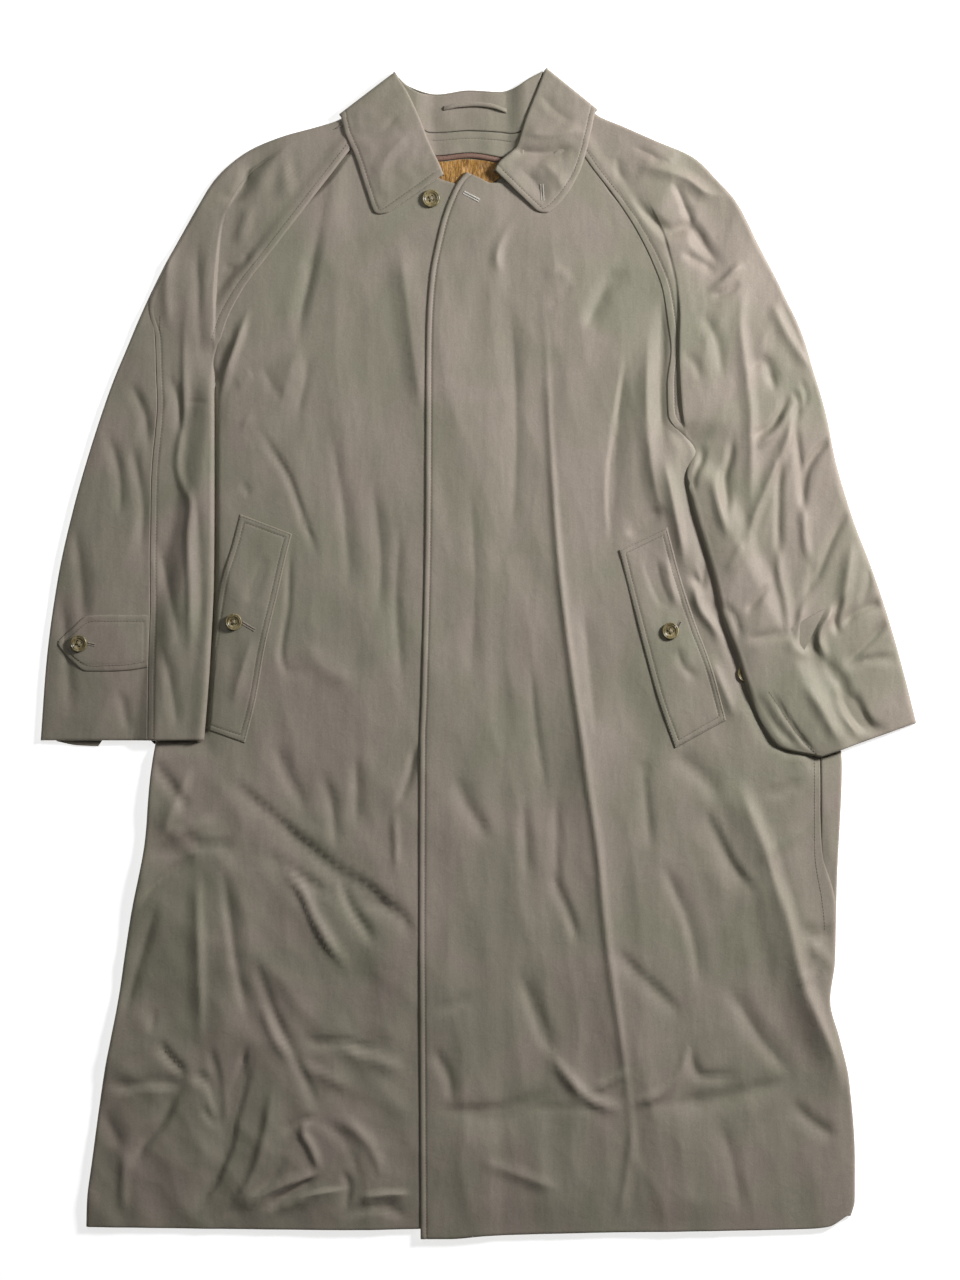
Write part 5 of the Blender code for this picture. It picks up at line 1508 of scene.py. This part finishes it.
def make_gabardine(name, warm, green):
    """Cotton gabardine, woven of two tones."""
    # The close twill gives the eye a dull, even face. Its raised fibres lighten it where it
    # turns away. The two tones drift at random, and a painted sheen shifts them with the slope.
    material, shader = new_material(name, Roughness=0.58, IOR=1.47, Specular_IOR_Level=0.35,
                                    Sheen_Weight=0.22, Sheen_Roughness=0.35)
    place = add_node(material, "TexCoord")
    turned = add_node(material, "NewGeometry")
    facing = add_node(material, "SeparateXYZ", (("Vector", turned, "Normal"),))
    # Tones drift over a hand's width, and streaks follow the warp
    drift = add_node(material, "TexNoise", (("Vector", place, "Object"),),
                     Scale=per_metre(111.1), Detail=2.0, Roughness=0.55, Distortion=0.6)
    stretch = add_node(material, "Mapping", (("Vector", place, "Object"),),
                       Scale=(1.0, 0.16, 1.0))
    streaks = add_node(material, "TexNoise", (("Vector", stretch, "Vector"),),
                       Scale=per_metre(3.846), Detail=3.0, Roughness=0.6)
    blend = add_node(material, "Math", (("Value", drift, "Fac"),),
                     ((1, 3.4), (2, -1.25)), operation="MULTIPLY_ADD")
    # Painted sheen: faces turned to +X, towards the window lamp, go warm taupe, and faces turned to
    # -X go grey-green
    tone = add_node(material, "Math", ((0, facing, "X"), (2, blend, 0)),
                    ((1, -0.55),), operation="MULTIPLY_ADD", use_clamp=True)
    tones_and_painted_sheen = add_node(material, "Mix", ((0, tone, 0),),
                     ((6, tuple(warm) + (1.0,)), (7, tuple(green) + (1.0,))), data_type="RGBA")
    shade = add_node(material, "MapRange", (("Value", streaks, "Fac"),),
                     From_Min=0.3, From_Max=0.7, To_Min=0.95, To_Max=1.05)
    # Single yarns, drawn at 1.5 mm because the real 0.3 mm would not show
    grain = add_node(material, "TexNoise", (("Vector", place, "Object"),),
                     Scale=per_metre(1.5385), Detail=1.0)
    speckle = add_node(material, "MapRange", (("Value", grain, "Fac"),),
                       From_Min=0.25, From_Max=0.75, To_Min=0.93, To_Max=1.07)
    strength = add_node(material, "Math", ((0, shade, 0), (1, speckle, 0)),
                        operation="MULTIPLY")
    finished = add_node(material, "VectorMath",
                        ((0, tones_and_painted_sheen, 2), ("Scale", strength, 0)), operation="SCALE")
    # Twill ribs, drawn at 0.93 mm because the real 0.4 mm would not show. The phase of a
    # diagonal wave is 10 (x + y + z) at a scale of 1.
    twill = add_node(material, "TexWave", (("Vector", place, "Object"),),
                     Scale=2 * pi / (10 * 2 ** 0.5) * per_metre(0.9256), Distortion=0.6,
                     Detail=1.0, Detail_Scale=3.0, wave_type="BANDS",
                     bands_direction="DIAGONAL")
    pucker = add_node(material, "TexNoise", (("Vector", place, "Object"),),
                      Scale=per_metre(11.765), Detail=3.0, Roughness=0.5, Distortion=0.8)
    # Fine wrinkles, whose crests are sharper than the mesh's cells could show
    drawn = add_node(material, "Mapping", (("Vector", place, "Object"),),
                     Scale=(1.0, 0.42, 1.0), Rotation=(0.0, 0.0, 0.3))
    wrinkles = add_node(material, "TexNoise", (("Vector", drawn, "Vector"),),
                        Scale=per_metre(76.923), Detail=3.0, Roughness=0.45, Distortion=0.5,
                        noise_type="RIDGED_MULTIFRACTAL")
    bump = add_node(material, "Bump", (("Height", wrinkles, "Fac"),),
                    Strength=0.9, Distance=0.0058)
    for pattern, share, depth in ((pucker, 0.2, 0.0016), (twill, 0.18, 0.0004),
                                  (streaks, 0.14, 0.0005)):
        bump = add_node(material, "Bump",
                        (("Height", pattern, "Fac"), ("Normal", bump, "Normal")),
                        Strength=share, Distance=depth)
    links = material.node_tree.links
    links.new(finished.outputs[0], shader.inputs["Base Color"])
    links.new(bump.outputs[0], shader.inputs["Normal"])
    return material


def make_pile(name):
    """Gold satin pile lining."""
    # The tufts lie in streaks, painted gold on their crests and brown between them: painted
    # highlight and shade
    material, shader = new_material(name, Roughness=0.45, IOR=1.5, Specular_IOR_Level=0.4,
                                    Sheen_Weight=0.5, Sheen_Roughness=0.4)
    place = add_node(material, "TexCoord")
    stretch = add_node(material, "Mapping", (("Vector", place, "Object"),),
                       Scale=(1.0, 0.3, 1.0), Rotation=(0, 0, 0.2))
    tufts = add_node(material, "TexNoise", (("Vector", stretch, "Vector"),),
                     Scale=per_metre(2.381), Detail=4.0, Roughness=0.65, Distortion=0.8)
    # Painted highlight on the tufts' crests and painted shade between them, over the pile's own
    # gold
    ramp = add_node(material, "ValToRGB", (("Fac", tufts, "Fac"),),
                    stops=((0.27, "543A1E"), (0.48, "A37534"), (0.7, "CE9D54")))
    bump = add_node(material, "Bump", (("Height", tufts, "Fac"),),
                    Strength=0.7, Distance=0.0012)
    material.node_tree.links.new(ramp.outputs[0], shader.inputs["Base Color"])
    material.node_tree.links.new(bump.outputs[0], shader.inputs["Normal"])
    return material


def make_plain_weave(name, size, stops, **values):
    """Cloth of one colour, whose yarns only vary a little."""
    material, shader = new_material(name, **values)
    place = add_node(material, "TexCoord")
    weave = add_node(material, "TexNoise", (("Vector", place, "Object"),),
                     Scale=per_metre(size), Detail=2.0)
    ramp = add_node(material, "ValToRGB", (("Fac", weave, "Fac"),), stops=stops)
    material.node_tree.links.new(ramp.outputs[0], shader.inputs["Base Color"])
    return material


def make_satin(name):
    """Rayon satin piping: a close weave of smooth filaments."""
    # Its floats give the eye a broad, dull gloss. The yarns are drawn at 1.1 mm because the
    # real 0.2 mm would not show.
    return make_plain_weave(name, 1.111, ((0.35, "7C6056"), (0.65, "9C7E70")),
                            Roughness=0.42, IOR=1.5, Specular_IOR_Level=0.5)


def make_horn(name):
    """Buffalo horn, turned and polished."""
    # The thin polish gives the rims a clear light over olive gold, with darker clouds in it
    material, shader = new_material(name, Roughness=0.34, IOR=1.55, Specular_IOR_Level=0.45,
                                    Coat_Weight=0.2, Coat_Roughness=0.2)
    place = add_node(material, "TexCoord")
    stretch = add_node(material, "Mapping", (("Vector", place, "Object"),),
                       Scale=(1.0, 0.45, 1.0), Rotation=(0, 0, 0.6))
    clouds = add_node(material, "TexNoise", (("Vector", stretch, "Vector"),),
                      Scale=per_metre(5.263), Detail=4.0, Roughness=0.6, Distortion=1.4)
    ramp = add_node(material, "ValToRGB", (("Fac", clouds, "Fac"),),
                    stops=((0.33, "4A402B"), (0.5, "857853"), (0.68, "B0A27C")))
    material.node_tree.links.new(ramp.outputs[0], shader.inputs["Base Color"])
    return material


def make_hole_shade(name):
    """Painted shade for horn deep inside a button's hole, or cloth inside a slit."""
    # Light hardly reaches it, so its colour is painted nearly black: painted shade
    return new_material(name, Roughness=0.6, IOR=1.55, Specular_IOR_Level=0.3,
                        Base_Color=linear("2E2415"))[0]


def make_shaded_lining(name):
    """Lining cloth deep inside a cuff, in painted shade: dark brown."""
    # Little light reaches it, so its colour is painted dull and dark: painted shade. The yarns are
    # drawn at 1.4 mm because the real 0.2 mm would not show.
    return make_plain_weave(name, 1.4286, ((0.0, "2E241B"), (1.0, "4A3B2E")),
                            Roughness=0.7, IOR=1.5, Specular_IOR_Level=0.3)


def make_thread(name, colour):
    """Polyester sewing thread, twisted from strands."""
    # The twist gives each stitch lighter and darker flecks and a slight gloss
    material, shader = new_material(name, Roughness=0.5, IOR=1.5, Specular_IOR_Level=0.4)
    place = add_node(material, "TexCoord")
    twist = add_node(material, "TexNoise", (("Vector", place, "Object"),),
                     Scale=per_metre(0.625), Detail=2.0)
    shade = add_node(material, "MapRange", (("Value", twist, "Fac"),),
                     From_Min=0.3, From_Max=0.7, To_Min=0.8, To_Max=1.1)
    scaled = add_node(material, "VectorMath", (("Scale", shade, "Result"),),
                      ((0, tuple(colour)[:3]),), operation="SCALE")
    material.node_tree.links.new(scaled.outputs[0], shader.inputs["Base Color"])
    return material


# Cut of each cloth piece laid out flat: width, length and area in metres, and what it lies on
Cut = namedtuple("Cut", "width length area on")


def dress(piece, node):
    """Put a finished piece in place of its node, which is hidden."""
    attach(piece, "root")
    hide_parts(node)
    return piece


def dress_extra(piece):
    """Let a piece that only the scene has ride on the coat."""
    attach(piece, "root")
    return piece


def finish_named(name, maker, *details):
    """Material made once and shared by the pieces that have it."""
    return bpy.data.materials.get(name) or maker(name, *details)


class CoatSizes(bpy.types.PropertyGroup):
    """Sizes of the cloth and its stitches"""
    cloth_wall: bpy.props.FloatProperty(
        name="Cloth thickness", description="Thickness of each layer of cloth",
        default=0.001, min=0.0, unit="LENGTH")
    crease_scale: bpy.props.FloatProperty(
        name="Crease height", description="Height of the creases, as a share of their list's",
        default=1.3, min=0.0)
    stitch_pitch: bpy.props.FloatProperty(
        name="Stitch spacing", description="Distance from one topstitch to the next",
        default=0.0032, min=0.001, unit="LENGTH")
    stitch_length: bpy.props.FloatProperty(
        name="Stitch length", description="Length of the thread that shows in each topstitch",
        default=0.0022, min=0.0005, unit="LENGTH")


class CoatColours(bpy.types.PropertyGroup):
    """Colours of the coat"""
    warm: bpy.props.FloatVectorProperty(
        name="Warm tone", description="Taupe thread of the gabardine", subtype="COLOR",
        min=0.0, max=1.0, default=linear("A2968A")[:3])
    green: bpy.props.FloatVectorProperty(
        name="Green tone", description="Grey-green thread of the gabardine", subtype="COLOR",
        min=0.0, max=1.0, default=linear("94907E")[:3])
    thread: bpy.props.FloatVectorProperty(
        name="Thread", description="Sewing thread of the topstitching", subtype="COLOR",
        min=0.0, max=1.0, default=linear("80766A")[:3])


class StageSizes(bpy.types.PropertyGroup):
    """Sizes of the stage"""
    camera_height: bpy.props.FloatProperty(
        name="Camera height", description="Height of the camera over the table",
        default=2.6, unit="LENGTH")
    floor_width: bpy.props.FloatProperty(
        name="Floor width", description="Width of the pale floor", default=14.0,
        unit="LENGTH")


LAID = {}


def gabardine():
    """The coat's cloth."""
    colours = bpy.context.scene.coat_colours
    return finish_named("cotton gabardine", make_gabardine, colours.warm, colours.green)


def painted_hole_shade():
    """The painted shade inside the buttons' holes and the buttonholes."""
    return finish_named("horn inside a hole", make_hole_shade)


class LayBody(bpy.types.Operator):
    """Lay the back and both fronts"""
    bl_idname = "coat.lay_body"
    bl_label = "Body"

    def execute(self, context):
        cloth = gabardine()
        LAID["back_panel"] = dress(build_back(cloth), "back_panel")
        LAID["front_right"] = dress(build_right_front(cloth), "front_right")
        LAID["front_left"] = dress(build_left_front(cloth), "front_left")
        return {"FINISHED"}


class LayWelts(bpy.types.Operator):
    """Lay the pocket welts on the fronts, and the turned-under tab of the left cuff"""
    bl_idname = "coat.lay_welts"
    bl_label = "Pocket welts"

    def execute(self, context):
        cloth = gabardine()
        below = Surface([LAID["front_right"], LAID["front_left"], LAID["back_panel"]])
        for name, rows, seed in WELTS:
            welt = build_welt(name, rows, below, seed, cloth)
            LAID[name] = dress(welt, name)
        LAID["cuff_tab_left"] = dress(build_left_tab(cloth), "cuff_tab_left")
        return {"FINISHED"}


class LaySleeves(bpy.types.Operator):
    """Lay both sleeves, with the cuff tab of the right one"""
    bl_idname = "coat.lay_sleeves"
    bl_label = "Sleeves"

    def execute(self, context):
        cloth = gabardine()
        for arm in ARMS:
            for part, builder in (("back", build_sleeve_back), ("front", build_sleeve_front)):
                name = "sleeve_" + arm.side + "_" + part
                LAID[name] = dress(builder(arm, cloth), name)
        below = Surface([LAID["sleeve_right_back"], LAID["sleeve_right_front"]])
        LAID["cuff_tab_right"] = dress(build_tab(below, cloth), "cuff_tab_right")
        # The inside of the cuff gets a lining in painted shade
        shaded = finish_named("brown lining in shade", make_shaded_lining)
        for strip, piece in build_cuff_insides(cloth, shaded):
            dress_extra(piece)
        return {"FINISHED"}


class LayCollar(bpy.types.Operator):
    """Lay the collar and the inside of the neck"""
    bl_idname = "coat.lay_collar"
    bl_label = "Collar and neck"

    def execute(self, context):
        cloth = gabardine()
        LAID["collar_fall"] = dress(build_fall(cloth), "collar_fall")
        pieces = build_neck(cloth, finish_named("gold pile lining", make_pile),
                            finish_named("rayon satin", make_satin))
        for name, piece in pieces.items():
            LAID[name] = dress(piece, name)
        return {"FINISHED"}


class LayButtons(bpy.types.Operator):
    """Lay the five buttons, each on the piece that it fastens"""
    bl_idname = "coat.lay_buttons"
    bl_label = "Buttons"

    def execute(self, context):
        horn = finish_named("polished horn", make_horn)
        thread = finish_named("button thread", make_thread, linear("A79A7E"))
        for button in BUTTONS:
            surface = Surface([LAID[button.on]])
            spots = [surface.height(button.x + 6 * cos(turn), button.y + 6 * sin(turn))
                     for turn in np.linspace(0, 2 * pi, 8)]
            piece = build_button(button, max(spots) + 0.2, horn, thread)
            LAID[button.name] = dress(piece, button.name)
        return {"FINISHED"}


class Sew(bpy.types.Operator):
    """Sew the topstitching and work the buttonholes"""
    bl_idname = "coat.sew"
    bl_label = "Stitching"

    def execute(self, context):
        thread = finish_named("sewing thread", make_thread, context.scene.coat_colours.thread)
        routes = stitch_routes()
        for name, rows, seed in WELTS:
            x, y = patch_grid(rows, WELT_CELL)[:2]
            routes[name] = [grid_ring(x, y, line) for line in (SIX_IN, EDGE_IN)]
        for node, rows in routes.items():
            piece = sew(node + "_topstitch", rows, Surface([LAID[node]]), thread)
            dress_extra(piece)
        carriers = Surface([LAID[name] for name in (
            "front_left", "pocket_welt_left", "pocket_welt_right", "cuff_tab_right",
            "collar_fall")])
        for number, hole in enumerate(BUTTONHOLES):
            twist = finish_named("buttonhole twist %d" % number, make_thread, linear(hole.thread))
            piece = work_buttonhole("buttonhole_%d" % number, hole, carriers, twist)
            dress_extra(piece)
        return {"FINISHED"}


class SetStage(bpy.types.Operator):
    """Set the floor, the lights and the camera"""
    bl_idname = "coat.set_stage"
    bl_label = "Stage"

    def execute(self, context):
        sizes = context.scene.stage_sizes
        mesh = bmesh.new()
        bmesh.ops.create_grid(mesh, x_segments=1, y_segments=1, size=sizes.floor_width / 2)
        bmesh.ops.translate(mesh, verts=mesh.verts, vec=(0, 0, -0.0006))
        # Matt paper with light from behind it, so the eye sees an even white
        paper = new_material("white paper", Roughness=0.9, IOR=1.45, Specular_IOR_Level=0.1,
                             Base_Color=linear("F4F4F4"), Emission_Color=(1, 1, 1, 1),
                             Emission_Strength=0.72)[0]
        stage = [laid_object("floor", mesh, paper)]
        for name, place, target, size, power in LAMPS:
            light = bpy.data.lights.new(name, "AREA")
            light.shape = "SQUARE"
            light.size = size
            light.energy = power
            lamp = bpy.data.objects.new(name, light)
            lamp.location = place
            away = Vector(place) - Vector(target)
            lamp.rotation_euler = away.to_track_quat("Z", "Y").to_euler()
            context.scene.collection.objects.link(lamp)
            stage.append(lamp)
        world = context.scene.world or bpy.data.worlds.new("room")
        context.scene.world = world
        world.use_nodes = True
        sky = world.node_tree.nodes["Background"]
        sky.inputs["Color"].default_value = (1, 1, 1, 1)
        sky.inputs["Strength"].default_value = 0.03
        lens = bpy.data.cameras.new("camera")
        camera = bpy.data.objects.new("camera", lens)
        camera.location = CAMERA_PLACE + (sizes.camera_height,)
        lens.sensor_fit = "VERTICAL"
        lens.sensor_height = SENSOR_HEIGHT
        lens.lens = SENSOR_HEIGHT * (sizes.camera_height - COAT_LEVEL) / PICTURE_HEIGHT
        context.scene.collection.objects.link(camera)
        context.scene.camera = camera
        context.scene.view_settings.view_transform = "Standard"
        return {"FINISHED"}


class CoatPanel(bpy.types.Panel):
    """Buttons that lay each group of the coat's pieces"""
    bl_idname = "VIEW3D_PT_coat"
    bl_label = "Balmacaan coat"
    bl_space_type = "VIEW_3D"
    bl_region_type = "UI"
    bl_category = "Coat"

    def draw(self, context):
        for setting, group in SETTINGS.items():
            for name in group.__annotations__:
                self.layout.prop(getattr(context.scene, setting), name)
        for operator in OPERATORS:
            self.layout.operator(operator.bl_idname)


OPERATORS = (LayBody, LayWelts, LaySleeves, LayCollar, LayButtons, Sew, SetStage)
SETTINGS = {"coat_sizes": CoatSizes, "coat_colours": CoatColours, "stage_sizes": StageSizes}
CLASSES = tuple(SETTINGS.values()) + OPERATORS + (CoatPanel,)


def register():
    """Register the classes and the scene's settings."""
    for group in CLASSES:
        bpy.utils.register_class(group)
    for setting, group in SETTINGS.items():
        setattr(bpy.types.Scene, setting, bpy.props.PointerProperty(type=group))


def unregister():
    """Take them away again."""
    for setting in SETTINGS:
        delattr(bpy.types.Scene, setting)
    for group in reversed(CLASSES):
        bpy.utils.unregister_class(group)


def main():
    """Lay the coat from the table up."""
    register()
    bpy.ops.coat.lay_body()
    bpy.ops.coat.lay_welts()
    bpy.ops.coat.lay_sleeves()
    bpy.ops.coat.lay_collar()
    bpy.ops.coat.lay_buttons()
    bpy.ops.coat.sew()
    bpy.ops.coat.set_stage()


if __name__ == "__main__":
    main()
